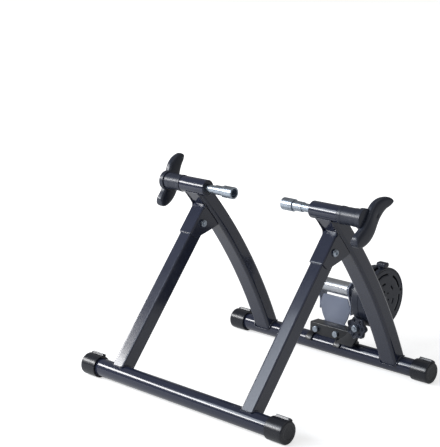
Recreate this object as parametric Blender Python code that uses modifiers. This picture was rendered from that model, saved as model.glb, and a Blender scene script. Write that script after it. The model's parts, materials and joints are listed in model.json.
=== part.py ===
"""Indoor bicycle trainer: a folding steel stand that clamps a rear axle, with a magnetic roller unit.

Metres, +Z up. +X is the side that carries the magnet drum, -Y is towards the front foot. The clamp
axis is the design datum (Y = 0) and the whole object hangs from one empty, so that its box is centred.
"""

import math

import bmesh
import bpy
from mathutils import Matrix, Vector

# Gaps between pieces
CONTACT_GAP = 0.0003  # between pieces that touch, are welded or pressed together
RUNNING_GAP = 0.0003  # round pieces that turn or slide in one another

# Foot tubes and their caps
FOOT_TUBE_RADIUS = 0.0185
FOOT_TUBE_WALL = 0.0015
CAP_RADIUS = 0.0225
CAP_LENGTH = 0.0405
CAP_END_WALL = 0.0042
CAP_ROUNDING = 0.0075
CAP_LUG_RADIUS = 0.0268
CAP_LUG_WIDTH = 0.0095
CAP_LUG_SETBACK = 0.0032  # from either end of the cap
CAP_LUG_EDGE = 0.0015
CAP_LUG_LEAN = math.radians(27.0)  # back from straight up
HALF_WIDTH = 0.2725  # middle of the stand to the end of a cap

# Where the main axes lie, seen from the side
FRONT_REACH = 0.2158  # clamp axis to the front foot tube
REAR_REACH = 0.2351
CLAMP_HEIGHT = 0.381
PIVOT_BACK = 0.004
PIVOT_DROP = 0.078  # below the clamp axis

# Front legs: straight rectangular tube
FRONT_LEG_X = 0.176
FRONT_LEG_WIDTH = 0.029
FRONT_LEG_DEPTH = 0.033
FRONT_LEG_WALL = 0.0015
FRONT_LEG_EDGE = 0.003

# Rear legs: bowed tube, a rounded rectangle in section
REAR_LEG_X = 0.175
REAR_LEG_WIDTH = 0.045
REAR_LEG_DEPTH = 0.034
REAR_LEG_WALL = 0.0015
REAR_LEG_EDGE = 0.0075
REAR_LEG_BOW = 1.19
REAR_LEG_TOP_BACK = -0.0027

# Folded brackets that hold the front legs
BRACKET_SHEET = 0.0022
BRACKET_HALF_HEIGHT = 0.035  # of the web, along the leg
BRACKET_NECK = (-0.0100, 0.3665)  # corner under the clamp tube, (Y, Z)
BRACKET_HEEL = (0.0640, 0.3020)  # where the lower edge meets the rear leg
BRACKET_SOLE = (0.0210, 0.2830)
BRACKET_TOE = (-0.0166, 0.2734)
PIVOT_BOLT_RADIUS = 0.005
PIVOT_HEAD_RADIUS = 0.0078
PIVOT_HEAD_HEIGHT = 0.005
PIVOT_NUT_HEIGHT = 0.0056
PIVOT_NUT_RADIUS = 0.0082
BOLT_END = 0.0015  # thread that shows past a nut

# Axle clamps
CLAMP_TUBE_RADIUS = 0.017
CLAMP_TUBE_WALL = 0.003
CLAMP_TUBE_INNER_END = 0.1405
CLAMP_TUBE_OUTER_END = 0.210
CLAMP_TUBE_CHAMFER = 0.0018
BUSH_LENGTH = 0.020
COLLAR_RADIUS = 0.018
COLLAR_WAIST_RADIUS = 0.0174
COLLAR_CHAMFER = 0.0012
COLLAR_RIM_CHAMFER = 0.0008
COLLAR_RIM_WIDTH = 0.0035
COLLAR_OUTER_END = 0.2547
ROD_RADIUS = 0.0085
ROD_SHOULDER_RADIUS = 0.010
ROD_SHOULDER_END = 0.117
ROD_OUTER_END = 0.196
ROD_SPIGOT_RADIUS = 0.004
ROD_SPIGOT_LENGTH = 0.005
CUP_RADIUS = 0.0125
CUP_BORE_RADIUS = 0.0092
CUP_BORE_DEPTH = 0.017
CUP_INNER_END = 0.0665
CUP_OUTER_END = 0.094
CUP_CHAMFER = 0.001
CAM_RADIUS = 0.006
CAM_INNER_END = 0.2095
CAM_OUTER_END = 0.2620
HUB_RADIUS = 0.0205
HUB_OUTER_END = 0.266
HANDLE_INNER_FACE = 0.2562
HANDLE_THICKNESS = 0.0190
HANDLE_EDGE = 0.0035
HANDLE_FLARE = 0.0075  # how far the toe leans outward
HANDLE_FLARE_START = 0.018
HANDLE_TOE_THICKNESS = 0.0135
LEFT_HANDLE_TURN = math.radians(18.0)  # the left handle is locked with its toe higher
# Crescent seen from the side, from the clamp axis, (back, up)
HANDLE_OUTLINE = (
    (-0.0337, -0.0400), (-0.0330, -0.0315), (-0.0272, -0.0250), (-0.0197, -0.0205), (-0.0130, -0.0140),
    (-0.0055, -0.0055), (0.0050, 0.0095), (0.0115, 0.0190), (0.0170, 0.0262), (0.0245, 0.0316), (0.0340, 0.0356),
    (0.0475, 0.0368), (0.0600, 0.0352), (0.0665, 0.0310), (0.0680, 0.0250), (0.0640, 0.0185),
    (0.0550, 0.0135), (0.0470, 0.0070), (0.0405, 0.0000), (0.0355, -0.0088), (0.0300, -0.0190),
    (0.0243, -0.0280), (0.0155, -0.0382), (0.0045, -0.0460), (-0.0070, -0.0506), (-0.0180, -0.0520),
    (-0.0270, -0.0502), (-0.0320, -0.0458),
)

# Roller unit: seat on the rear foot tube. Distances back and up are from the tube's axis.
UNIT_BLOCK_HALF_WIDTH = 0.045
UNIT_BLOCK_END = 0.066  # on the drum's side
UNIT_BLOCK_FRONT = -0.0071
UNIT_BLOCK_FLOOR = 0.0110
UNIT_BLOCK_TOP = 0.0435
UNIT_BLOCK_EDGE = 0.002
HOOK_X = 0.039
HOOK_WIDTH = 0.016
HOOK_THICKNESS = 0.0035
HOOK_HEEL = math.radians(-60.0)  # from straight back, over the top
HOOK_TIP = math.radians(165.0)
ARM_THICKNESS = 0.008
ARM_HALF_WIDTH = 0.0113
ARM_SLIT = 0.0016
ARM_SLIT_FLOOR = 0.036
ARM_SHOULDER = (0.0700, 0.0400)  # where its inner edge bends, (X, up)
ARM_ELBOW = (0.0940, 0.0300)  # where its outer edge bends
SHELF_INNER_END = 0.050
SHELF_OUTER_END = 0.088
SHELF_FLOOR = 0.0200
SHELF_TOP = 0.0260
KNOB_X = 0.1060
KNOB_UP = 0.0680
KNOB_DRUM_CLEARANCE = 0.0016
KNOB_THICKNESS = 0.010
KNOB_RADIUS = 0.0230
KNOB_LOBE = 0.0020
KNOB_EDGE = 0.0015
KNOB_LOBES = 7
KNOB_BOLT_RADIUS = 0.004
KNOB_BOLT_HEAD_RADIUS = 0.009
KNOB_BOLT_HEAD_HEIGHT = 0.0036
KNOB_NUT_RADIUS = 0.0076
KNOB_NUT_HEIGHT = 0.0062
SEAT_BOLT_X = 0.0275
SEAT_BOLT_UP = 0.0294
SEAT_BOLT_RADIUS = 0.004
SEAT_BOLT_HEAD_RADIUS = 0.0075
SEAT_BOLT_HEAD_HEIGHT = 0.0053
SEAT_NUT_HEIGHT = 0.0062

# Roller unit: U bracket, roller and shaft
ROLLER_BACK = 0.0295  # roller axis from the rear tube's axis
ROLLER_UP = 0.1230
ROLLER_RADIUS = 0.016
ROLLER_HALF_LENGTH = 0.0375
ROLLER_END_CHAMFER = 0.0012
SHAFT_RADIUS = 0.005
SHAFT_OUTER_END = 0.1030
U_SHEET = 0.003
U_HALF_GAP = 0.0405
U_WEB_TOP = 0.1035  # above the rear tube's axis
U_WEB_WIDEST = 0.0800
U_WEB_LOWER = 0.0570
U_WEB_BOTTOM = 0.0435
U_WEB_TOP_HALF = 0.0335
U_WEB_LOWER_HALF = 0.0345
U_WEB_BOTTOM_HALF = 0.0268
U_TAB_HALF = 0.036
U_TAB_STEP = 0.002
U_TAB_BOTTOM = 0.0220
U_WEB_FRONT = 0.0219  # from the rear tube's axis, towards the back
U_FLANGE_FOOT = 0.0680
U_FLANGE_SHOULDER = 0.0900
U_LOBE_RADIUS = 0.0185
U_FLANGE_BACK = 0.0200  # lower rear corner, from the web
BEARING_RADIUS = 0.011
BEARING_WIDTH = 0.007
BEARING_CHAMFER = 0.0006
SHAFT_NUT_RADIUS = 0.0085
SHAFT_NUT_HEIGHT = 0.006
SHAFT_THREAD = 0.0015

# Roller unit: magnet drum
DRUM_RADIUS = 0.0659
DRUM_WALL = 0.0025
DRUM_INNER_FACE = 0.085
DRUM_OUTER_FACE = 0.126
DRUM_BACK_SHEET = 0.0035
DRUM_SHOULDER = 0.004
DRUM_BOSS_RADIUS = 0.0145
DRUM_BOSS_FLARE = 0.004
COVER_SHEET = 0.0037
COVER_ROUNDING = 0.0015
COVER_HUB_RADIUS = 0.009
COVER_HUB_END = 0.1060
OUTER_SLOTS = 6
OUTER_SLOT_INSET = 0.0149  # from the drum's rim
OUTER_SLOT_WIDTH = 0.0037
OUTER_SLOT_SPAN = math.radians(42.0)
INNER_SLOTS = 6
INNER_SLOT_RADIUS = 0.0308
INNER_SLOT_WIDTH = 0.0030
INNER_SLOT_SPAN = math.radians(22.0)
VENTS = 6
VENT_CIRCLE = 0.0143
VENT_RADIUS = 0.0018
SLOT_TURN = math.radians(38.0)  # middle of the first opening, from straight back
COVER_SCREWS = 3
COVER_SCREW_INSET = 0.0074
COVER_SCREW_TURN = math.radians(8.0)
COVER_SCREW_RADIUS = 0.0030
COVER_SCREW_HEIGHT = 0.0014
FLYWHEEL_CLEARANCE = 0.0054
FLYWHEEL_INNER_FACE = 0.0915
FLYWHEEL_OUTER_FACE = 0.1010
FLYWHEEL_CHAMFER = 0.001
CARRIER_INNER_FACE = 0.1085
CARRIER_SHEET = 0.006
CARRIER_CLEARANCE = 0.0095
MAGNETS = 6
MAGNET_RIM = 0.003  # carrier left outside a magnet
MAGNET_RADIUS = 0.0080
MAGNET_HEIGHT = 0.0045
SELECTOR_ARM_WIDTH = 0.010
SELECTOR_ARM_ROOT = 0.006  # how far the arm and its neighbours run into each other
SELECTOR_SWING = math.radians(24.0)
SELECTOR_SLOT_SIDE = 0.0015
SELECTOR_INNER_END = 0.1055
SELECTOR_OUTER_END = 0.1290
SELECTOR_HALF_WIDTH = 0.0080
SELECTOR_LIFT = 0.0018  # above the drum's rim
SELECTOR_HEIGHT = 0.0115
SELECTOR_EDGE = 0.003

# Derived positions
TUBE_HEIGHT = CAP_RADIUS
FRONT_AXIS = (-FRONT_REACH, TUBE_HEIGHT)
REAR_AXIS = (REAR_REACH, TUBE_HEIGHT)
CLAMP_AXIS = (0.0, CLAMP_HEIGHT)
PIVOT_AXIS = (PIVOT_BACK, CLAMP_HEIGHT - PIVOT_DROP)
ROLLER_AXIS = (REAR_REACH + ROLLER_BACK, TUBE_HEIGHT + ROLLER_UP)
BACKMOST = ROLLER_AXIS[0] + DRUM_RADIUS
FRONTMOST = -FRONT_REACH - CAP_RADIUS
FOOT_TUBE_HALF_LENGTH = HALF_WIDTH - CAP_END_WALL - CONTACT_GAP
DRUM_OVER_KNOB = ROLLER_UP - KNOB_UP - KNOB_RADIUS - KNOB_LOBE  # from the knob's top up to the drum's axis
DRUM_OVER_BOLT = ROLLER_UP - KNOB_UP - KNOB_BOLT_HEAD_RADIUS
KNOB_BOLT_STACK = KNOB_BOLT_HEAD_HEIGHT + CONTACT_GAP + ARM_THICKNESS + CONTACT_GAP
# Rear face of the knob, in front of the rear tube's axis: the knob and its bolt's head clear the drum
KNOB_FORWARD = KNOB_DRUM_CLEARANCE - ROLLER_BACK + max(
    math.sqrt(DRUM_RADIUS**2 - DRUM_OVER_KNOB**2),
    math.sqrt(DRUM_RADIUS**2 - DRUM_OVER_BOLT**2) + KNOB_BOLT_STACK,
)
ARM_FRONT = CONTACT_GAP - KNOB_FORWARD
DRUM_BORE = DRUM_RADIUS - DRUM_WALL
FLYWHEEL_RADIUS = DRUM_BORE - FLYWHEEL_CLEARANCE
CARRIER_RADIUS = DRUM_BORE - CARRIER_CLEARANCE
MAGNET_CIRCLE = CARRIER_RADIUS - MAGNET_RIM - MAGNET_RADIUS
OUTER_SLOT_RADIUS = DRUM_RADIUS - OUTER_SLOT_INSET
COVER_SCREW_CIRCLE = DRUM_RADIUS - COVER_SCREW_INSET
SELECTOR_FLOOR = DRUM_RADIUS + SELECTOR_LIFT
SELECTOR_TOP = DRUM_RADIUS + SELECTOR_HEIGHT

ROUND = 32
SMALL_ROUND = 16
BIG_ROUND = 48
PAST = 0.01  # how far a cutter runs past what it cuts
SHARP = math.radians(35.0)

FACING_BACK = Matrix(((0, 0, 1), (1, 0, 0), (0, 1, 0))).to_euler()  # outline (back, up), thick along X
FACING_FRONT = (math.pi / 2, 0.0, 0.0)  # outline (X, up), thick along Y


def clear_scene():
    for obj in list(bpy.data.objects):
        bpy.data.objects.remove(obj, do_unlink=True)


def new_collection(name):
    collection = bpy.data.collections.new(name)
    bpy.context.scene.collection.children.link(collection)
    return collection


def new_origin():
    """The empty that carries the whole object, placed so that its box is centred on the world origin."""
    empty = bpy.data.objects.new("trainer_origin", None)
    empty.location = (0.0, -(BACKMOST + FRONTMOST) / 2, 0.0)
    PARTS.objects.link(empty)
    return empty


def new_material(name, color, roughness, metallic):
    made = bpy.data.materials.new(name)
    made.use_nodes = True
    shader = made.node_tree.nodes["Principled BSDF"]
    shader.inputs["Base Color"].default_value = (*color, 1.0)
    shader.inputs["Roughness"].default_value = roughness
    shader.inputs["Metallic"].default_value = metallic
    made.diffuse_color = (*color, 1.0)
    return made


def add_object(name, mesh, material, location, rotation):
    """A piece of the object, or a cutter when it has no material."""
    obj = bpy.data.objects.new(name, mesh)
    obj.location = location
    obj.rotation_euler = rotation
    obj.parent = ORIGIN
    if material is None:
        CUTTERS.objects.link(obj)
        obj.hide_render = True
        obj.display_type = "WIRE"
    else:
        PARTS.objects.link(obj)
    return obj


def settle(obj, material, whole_faces=True):
    """Turns the object's modifiers, or its curve, into a plain mesh with welded seams and smooth round faces."""
    bpy.context.view_layer.update()
    evaluated = obj.evaluated_get(bpy.context.evaluated_depsgraph_get())
    mesh = bpy.data.meshes.new_from_object(evaluated)
    shape = bmesh.new()
    shape.from_mesh(mesh)
    bmesh.ops.remove_doubles(shape, verts=shape.verts, dist=0.000002)
    if whole_faces:
        bmesh.ops.dissolve_limit(shape, angle_limit=math.radians(0.3), verts=shape.verts, edges=shape.edges)
    shape.to_mesh(mesh)
    shape.free()
    mesh.materials.clear()
    if material is not None:
        mesh.materials.append(material)
    mesh.shade_smooth()
    mesh.set_sharp_from_angle(angle=SHARP)
    name, place, turn = obj.name, tuple(obj.location), tuple(obj.rotation_euler)
    bpy.data.objects.remove(obj, do_unlink=True)
    return add_object(name, mesh, material, place, turn)


def turned(name, material, profile, location, rotation, steps=ROUND):
    """A turned piece: (radius, along) points, down the outer side first. It is a ring if it starts off the axis."""
    mesh = bpy.data.meshes.new(name)
    edges = [(i, i + 1) for i in range(len(profile) - 1)]
    if profile[0][0] > 0:
        edges.append((len(profile) - 1, 0))
    mesh.from_pydata([(radius, 0.0, along) for radius, along in profile], edges, [])
    obj = add_object(name, mesh, material, location, rotation)
    screw = obj.modifiers.new("Turn", "SCREW")
    screw.steps = steps
    screw.render_steps = steps
    screw.use_merge_vertices = True
    screw.merge_threshold = 0.00001
    return settle(obj, material)


def across(side):
    """Turns a piece's own +Z outward along X on the given side."""
    return (0.0, side * math.pi / 2, 0.0)


def on_axis(axis, x=0.0):
    return (x, axis[0], axis[1])


def tube_profile(radius, bore, start, end, chamfer=0.0):
    if chamfer:
        return [(radius, end), (radius, start + chamfer), (radius - chamfer, start), (bore, start), (bore, end)]
    return [(radius, end), (radius, start), (bore, start), (bore, end)]


def rod_cutter(name, radius, start, end, location, rotation, steps=ROUND):
    return turned(name, None, [(0.0, end), (radius, end), (radius, start), (0.0, start)], location, rotation, steps)


def prism(name, material, outline, thickness, location, rotation, whole_faces=True):
    """A flat outline given a thickness, centred on the location. Ends that will be bent stay in triangles."""
    curve = bpy.data.curves.new(name, "CURVE")
    curve.dimensions = "2D"
    curve.fill_mode = "BOTH"
    curve.extrude = thickness / 2
    spline = curve.splines.new("POLY")
    spline.points.add(len(outline) - 1)
    for point, (across_, up) in zip(spline.points, outline):
        point.co = (across_, up, 0.0, 1.0)
    spline.use_cyclic_u = True
    return settle(add_object(name, curve, material, location, rotation), material, whole_faces)


def block(name, material, low, high, edge=0.0, rotation=(0.0, 0.0, 0.0), pivot=(0.0, 0.0, 0.0)):
    """A box between two corners, given about a pivot point that becomes the object's origin."""
    mesh = bpy.data.meshes.new(name)
    shape = bmesh.new()
    bmesh.ops.create_cube(shape, size=1.0)
    size = Vector(high) - Vector(low)
    middle = (Vector(high) + Vector(low)) / 2
    bmesh.ops.scale(shape, vec=size, verts=shape.verts)
    bmesh.ops.translate(shape, vec=middle, verts=shape.verts)
    shape.to_mesh(mesh)
    shape.free()
    if material is not None:
        mesh.materials.append(material)
    obj = add_object(name, mesh, material, pivot, rotation)
    if edge:
        round_edges(obj, edge, 2)
    return obj


def hexagon(name, material, radius, height, location, rotation):
    """A hexagonal prism standing on its location, along its own +Z."""
    mesh = bpy.data.meshes.new(name)
    shape = bmesh.new()
    bmesh.ops.create_cone(shape, cap_ends=True, segments=6, radius1=radius, radius2=radius, depth=height)
    bmesh.ops.translate(shape, vec=(0.0, 0.0, height / 2), verts=shape.verts)
    shape.to_mesh(mesh)
    shape.free()
    if material is not None:
        mesh.materials.append(material)
    return add_object(name, mesh, material, location, rotation)


def round_edges(obj, width, segments):
    bevel = obj.modifiers.new("Rounded edges", "BEVEL")
    bevel.width = width
    bevel.segments = segments
    bevel.limit_method = "ANGLE"
    bevel.angle_limit = math.radians(40.0)


def combine(obj, operation, others):
    for other in others:
        step = obj.modifiers.new(other.name, "BOOLEAN")
        step.operation = operation
        step.object = other
        step.solver = "EXACT"


def cut(obj, *others):
    combine(obj, "DIFFERENCE", others)


def join(obj, *others):
    combine(obj, "UNION", others)


def arc(centre, radius, start, end, count):
    """Points along an arc, in the plane of an outline."""
    return [
        (
            centre[0] + radius * math.cos(start + (end - start) * i / (count - 1)),
            centre[1] + radius * math.sin(start + (end - start) * i / (count - 1)),
        )
        for i in range(count)
    ]


def side_name(side):
    return "right" if side > 0 else "left"


# Foot tubes and caps


def foot_tube(name, axis):
    profile = tube_profile(
        FOOT_TUBE_RADIUS, FOOT_TUBE_RADIUS - FOOT_TUBE_WALL, -FOOT_TUBE_HALF_LENGTH, FOOT_TUBE_HALF_LENGTH
    )
    return turned(name, STEEL, profile, on_axis(axis), across(1), BIG_ROUND)


def foot_cap(name, axis, side):
    """A moulded cap that can be turned on the tube's end, with a lug that lifts the foot when it points down."""
    bore = FOOT_TUBE_RADIUS + RUNNING_GAP
    start = HALF_WIDTH - CAP_LENGTH
    rounding = arc((CAP_RADIUS - CAP_ROUNDING, HALF_WIDTH - CAP_ROUNDING), CAP_ROUNDING, math.pi / 2, 0.0, 5)
    profile = [(0.0, HALF_WIDTH)]
    profile += rounding
    profile += [
        (CAP_RADIUS, start), (bore, start), (bore, HALF_WIDTH - CAP_END_WALL), (0.0, HALF_WIDTH - CAP_END_WALL),
    ]
    cap = turned(name, RUBBER, profile, on_axis(axis), across(side))
    ends = sorted((side * (start + CAP_LUG_SETBACK), side * (HALF_WIDTH - CAP_LUG_SETBACK)))
    lug = block(
        name + "_lug", None, (ends[0], -CAP_LUG_WIDTH / 2, bore + CAP_LUG_EDGE),
        (ends[1], CAP_LUG_WIDTH / 2, CAP_LUG_RADIUS), CAP_LUG_EDGE, (-CAP_LUG_LEAN, 0.0, 0.0), on_axis(axis),
    )
    join(cap, lug)
    return cap


# Front legs


def leg_line():
    """Unit vector up the front leg and the vector square to it that points forward, both (back, up)."""
    along = Vector((PIVOT_AXIS[0] - FRONT_AXIS[0], PIVOT_AXIS[1] - FRONT_AXIS[1]))
    length = along.length
    along.normalize()
    return along, Vector((-along.y, along.x)), length


def front_leg(side):
    """Rectangular tube, saddled on the foot tube and round-ended at the pivot."""
    name = "front_leg_" + side_name(side)
    along, _, length = leg_line()
    lean = math.atan2(along.y, along.x) - math.pi / 2
    half = FRONT_LEG_DEPTH / 2
    outline = [(half, 0.0), *arc((0.0, length), half, 0.0, math.pi, 13), (-half, 0.0)]
    turn = (Matrix.Rotation(lean, 3, "X") @ FACING_BACK.to_matrix()).to_euler()
    place = on_axis(PIVOT_AXIS, side * FRONT_LEG_X)
    outline = [(y, z - length) for y, z in outline]
    leg = prism(name, STEEL, outline, FRONT_LEG_WIDTH, place, turn)
    round_edges(leg, FRONT_LEG_EDGE, 2)
    inner = half - FRONT_LEG_WALL
    hollow_top = -PIVOT_HEAD_RADIUS - 0.010
    hollow = [(inner, hollow_top), (-inner, hollow_top), (-inner, -length - PAST), (inner, -length - PAST)]
    core = prism(name + "_hollow", None, hollow, FRONT_LEG_WIDTH - 2 * FRONT_LEG_WALL, place, turn)
    seat = rod_cutter(
        name + "_seat", FOOT_TUBE_RADIUS + CONTACT_GAP, -FRONT_LEG_WIDTH, FRONT_LEG_WIDTH,
        on_axis(FRONT_AXIS, side * FRONT_LEG_X), across(1),
    )
    hole = rod_cutter(
        name + "_hole", PIVOT_BOLT_RADIUS + RUNNING_GAP, -FRONT_LEG_WIDTH, FRONT_LEG_WIDTH, place, across(1),
        SMALL_ROUND,
    )
    cut(leg, core, seat, hole)
    return leg


# Rear legs


def bow():
    """Centre, radius and end angles of the rear leg's arc, from the foot tube up to the clamp tube."""
    foot = Vector(REAR_AXIS)
    top = Vector((CLAMP_AXIS[0] + REAR_LEG_TOP_BACK, CLAMP_AXIS[1]))
    chord = top - foot
    inward = Vector((-chord.y, chord.x)).normalized()
    centre = (foot + top) / 2 + inward * math.sqrt(REAR_LEG_BOW**2 - (chord.length / 2) ** 2)
    ends = [math.atan2(p.y - centre.y, p.x - centre.x) for p in (foot, top)]
    return centre, ends


def rear_leg_outline(half_depth, past):
    centre, (foot, top) = bow()
    extra = math.copysign(past / REAR_LEG_BOW, top - foot)
    back = arc(centre, REAR_LEG_BOW + half_depth, foot - extra, top + extra, 12)
    front = arc(centre, REAR_LEG_BOW - half_depth, top + extra, foot - extra, 12)
    return back + front


def rear_leg(side):
    """Bowed tube, saddled on the foot tube below and on the clamp tube above."""
    name = "rear_leg_" + side_name(side)
    place = (side * REAR_LEG_X, 0.0, 0.0)
    leg = prism(name, STEEL, rear_leg_outline(REAR_LEG_DEPTH / 2, REAR_LEG_EDGE), REAR_LEG_WIDTH, place, FACING_BACK)
    round_edges(leg, REAR_LEG_EDGE, 3)
    inside = rear_leg_outline(REAR_LEG_DEPTH / 2 - REAR_LEG_WALL, 3 * PAST)
    core = prism(name + "_hollow", None, inside, REAR_LEG_WIDTH - 2 * REAR_LEG_WALL, place, FACING_BACK)
    round_edges(core, REAR_LEG_EDGE - REAR_LEG_WALL, 2)
    seat = rod_cutter(
        name + "_seat", FOOT_TUBE_RADIUS + CONTACT_GAP, -REAR_LEG_WIDTH, REAR_LEG_WIDTH,
        on_axis(REAR_AXIS, side * REAR_LEG_X), across(1), BIG_ROUND,
    )
    top_seat = rod_cutter(
        name + "_top_seat", CLAMP_TUBE_RADIUS + CONTACT_GAP, -REAR_LEG_WIDTH, REAR_LEG_WIDTH,
        on_axis(CLAMP_AXIS, side * REAR_LEG_X), across(1),
    )
    below = past_end(name + "_below", REAR_AXIS, bow()[1][0], -1, side)
    above = past_end(name + "_above", CLAMP_AXIS, bow()[1][1], 1, side)
    cut(leg, core, seat, top_seat, below, above)
    return leg


def past_end(name, axis, angle, way, side):
    """Box that takes off what runs past a tube's middle, square to the bowed leg there."""
    reach = REAR_LEG_DEPTH
    length = 4 * REAR_LEG_EDGE + 2 * PAST
    turn = (math.atan2(math.sin(angle), math.cos(angle)), 0.0, 0.0)
    low, high = sorted((0.0, way * length))
    return block(
        name, None, (-REAR_LEG_WIDTH, -reach, low), (REAR_LEG_WIDTH, reach, high), 0.0, turn,
        on_axis(axis, side * REAR_LEG_X),
    )


# Pivot brackets, bolts and nuts


def bracket_half_width():
    return FRONT_LEG_WIDTH / 2 + RUNNING_GAP + BRACKET_SHEET


def pivot_bracket(side):
    """Folded sheet: a web in front of the leg, which is its open stop, and two cheeks back to the rear leg."""
    name = "pivot_bracket_" + side_name(side)
    along, out, _ = leg_line()
    pivot = Vector(PIVOT_AXIS)
    face = FRONT_LEG_DEPTH / 2 + RUNNING_GAP
    web_top = pivot + along * BRACKET_HALF_HEIGHT + out * (face + BRACKET_SHEET)
    web_foot = pivot - along * BRACKET_HALF_HEIGHT + out * (face + BRACKET_SHEET)
    neck, heel = Vector(BRACKET_NECK), Vector(BRACKET_HEEL)
    behind = [Vector((CLAMP_AXIS[0] + REAR_LEG_TOP_BACK, CLAMP_AXIS[1])), Vector((heel.x + 0.008, heel.y + 0.006))]
    outline = [web_top, neck, Vector((CLAMP_AXIS[0], CLAMP_AXIS[1])), *behind, heel]
    outline += [Vector(BRACKET_SOLE), Vector(BRACKET_TOE), web_foot]
    place = (side * FRONT_LEG_X, 0.0, 0.0)
    bracket = prism(name, STEEL, [(p.x, p.y) for p in outline], 2 * bracket_half_width(), place, FACING_BACK)
    inner_top = pivot + along * 0.2 + out * face
    inner_foot = pivot - along * 0.2 + out * face
    channel = [inner_foot, inner_top, inner_top - out * 0.3, inner_foot - out * 0.3]
    room = prism(
        name + "_channel", None, [(p.x, p.y) for p in channel], FRONT_LEG_WIDTH + 2 * RUNNING_GAP, place, FACING_BACK
    )
    leg_room = prism(
        name + "_leg_seat", None, rear_leg_outline(REAR_LEG_DEPTH / 2 + CONTACT_GAP, 4 * PAST), 2 * REAR_LEG_WIDTH,
        place, FACING_BACK,
    )
    tube_room = rod_cutter(
        name + "_tube_seat", CLAMP_TUBE_RADIUS + CONTACT_GAP, -REAR_LEG_WIDTH, REAR_LEG_WIDTH,
        on_axis(CLAMP_AXIS, side * FRONT_LEG_X), across(1),
    )
    beyond = block(
        name + "_beyond", None, (-REAR_LEG_WIDTH, -0.05, 0.0), (REAR_LEG_WIDTH, 0.08, 0.05), 0.0, (0.0, 0.0, 0.0),
        on_axis(CLAMP_AXIS, side * FRONT_LEG_X),
    )
    hole = rod_cutter(
        name + "_hole", PIVOT_BOLT_RADIUS + CONTACT_GAP, -REAR_LEG_WIDTH, REAR_LEG_WIDTH,
        on_axis(PIVOT_AXIS, side * FRONT_LEG_X), across(1), SMALL_ROUND,
    )
    cut(bracket, room, leg_room, tube_room, beyond, hole)
    return bracket


def pivot_bolt(side):
    head = FRONT_LEG_X + bracket_half_width() + CONTACT_GAP
    end = FRONT_LEG_X - bracket_half_width() - CONTACT_GAP - PIVOT_NUT_HEIGHT - BOLT_END
    top = head + PIVOT_HEAD_HEIGHT
    profile = [
        (0.0, top), (PIVOT_HEAD_RADIUS * 0.6, top), (PIVOT_HEAD_RADIUS, head + PIVOT_HEAD_HEIGHT * 0.45),
        (PIVOT_HEAD_RADIUS, head), (PIVOT_BOLT_RADIUS, head), (PIVOT_BOLT_RADIUS, end), (0.0, end),
    ]
    return turned(
        "pivot_bolt_" + side_name(side), ZINC, profile, on_axis(PIVOT_AXIS), across(side), SMALL_ROUND
    )


def pivot_nut(side):
    name = "pivot_nut_" + side_name(side)
    start = FRONT_LEG_X - bracket_half_width() - CONTACT_GAP - PIVOT_NUT_HEIGHT
    nut = hexagon(name, ZINC, PIVOT_NUT_RADIUS, PIVOT_NUT_HEIGHT, on_axis(PIVOT_AXIS, side * start), across(side))
    bore = rod_cutter(
        name + "_bore", PIVOT_BOLT_RADIUS + CONTACT_GAP, start - PAST, start + PIVOT_NUT_HEIGHT + PAST,
        on_axis(PIVOT_AXIS), across(side), SMALL_ROUND,
    )
    cut(nut, bore)
    return nut


# Axle clamps


def clamp_tube(side):
    profile = tube_profile(
        CLAMP_TUBE_RADIUS, CLAMP_TUBE_RADIUS - CLAMP_TUBE_WALL, CLAMP_TUBE_INNER_END, CLAMP_TUBE_OUTER_END,
        CLAMP_TUBE_CHAMFER,
    )
    return turned("clamp_tube_" + side_name(side), STEEL, profile, on_axis(CLAMP_AXIS), across(side))


def clamp_bush(side):
    outer = CLAMP_TUBE_RADIUS - CLAMP_TUBE_WALL - CONTACT_GAP
    start = CLAMP_TUBE_INNER_END
    profile = tube_profile(outer, ROD_RADIUS + RUNNING_GAP, start, start + BUSH_LENGTH)
    return turned("clamp_bush_" + side_name(side), PLASTIC, profile, on_axis(CLAMP_AXIS), across(side), SMALL_ROUND)


def clamp_collar(side):
    """Moulded sleeve that houses the handle's cam."""
    start = CLAMP_TUBE_OUTER_END + CONTACT_GAP
    length = COLLAR_OUTER_END - start
    bore = CAM_RADIUS + RUNNING_GAP
    profile = [
        (COLLAR_RADIUS - COLLAR_CHAMFER, COLLAR_OUTER_END), (COLLAR_RADIUS, COLLAR_OUTER_END - COLLAR_CHAMFER),
        (COLLAR_RADIUS, COLLAR_OUTER_END - length / 3), (COLLAR_WAIST_RADIUS, COLLAR_OUTER_END - length / 2),
        (COLLAR_RADIUS, start + COLLAR_RIM_WIDTH), (COLLAR_RADIUS, start + COLLAR_RIM_CHAMFER),
        (COLLAR_RADIUS - COLLAR_RIM_CHAMFER, start), (bore, start), (bore, COLLAR_OUTER_END),
    ]
    return turned("clamp_collar_" + side_name(side), PLASTIC, profile, on_axis(CLAMP_AXIS), across(side))


def clamp_rod(side):
    start = CUP_OUTER_END + CONTACT_GAP
    tip = start - ROD_SPIGOT_LENGTH
    profile = [
        (0.0, ROD_OUTER_END), (ROD_RADIUS, ROD_OUTER_END), (ROD_RADIUS, ROD_SHOULDER_END),
        (ROD_SHOULDER_RADIUS, ROD_SHOULDER_END), (ROD_SHOULDER_RADIUS, start), (ROD_SPIGOT_RADIUS, start),
        (ROD_SPIGOT_RADIUS, tip), (0.0, tip),
    ]
    return turned("clamp_rod_" + side_name(side), ZINC, profile, on_axis(CLAMP_AXIS), across(side), SMALL_ROUND)


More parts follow.
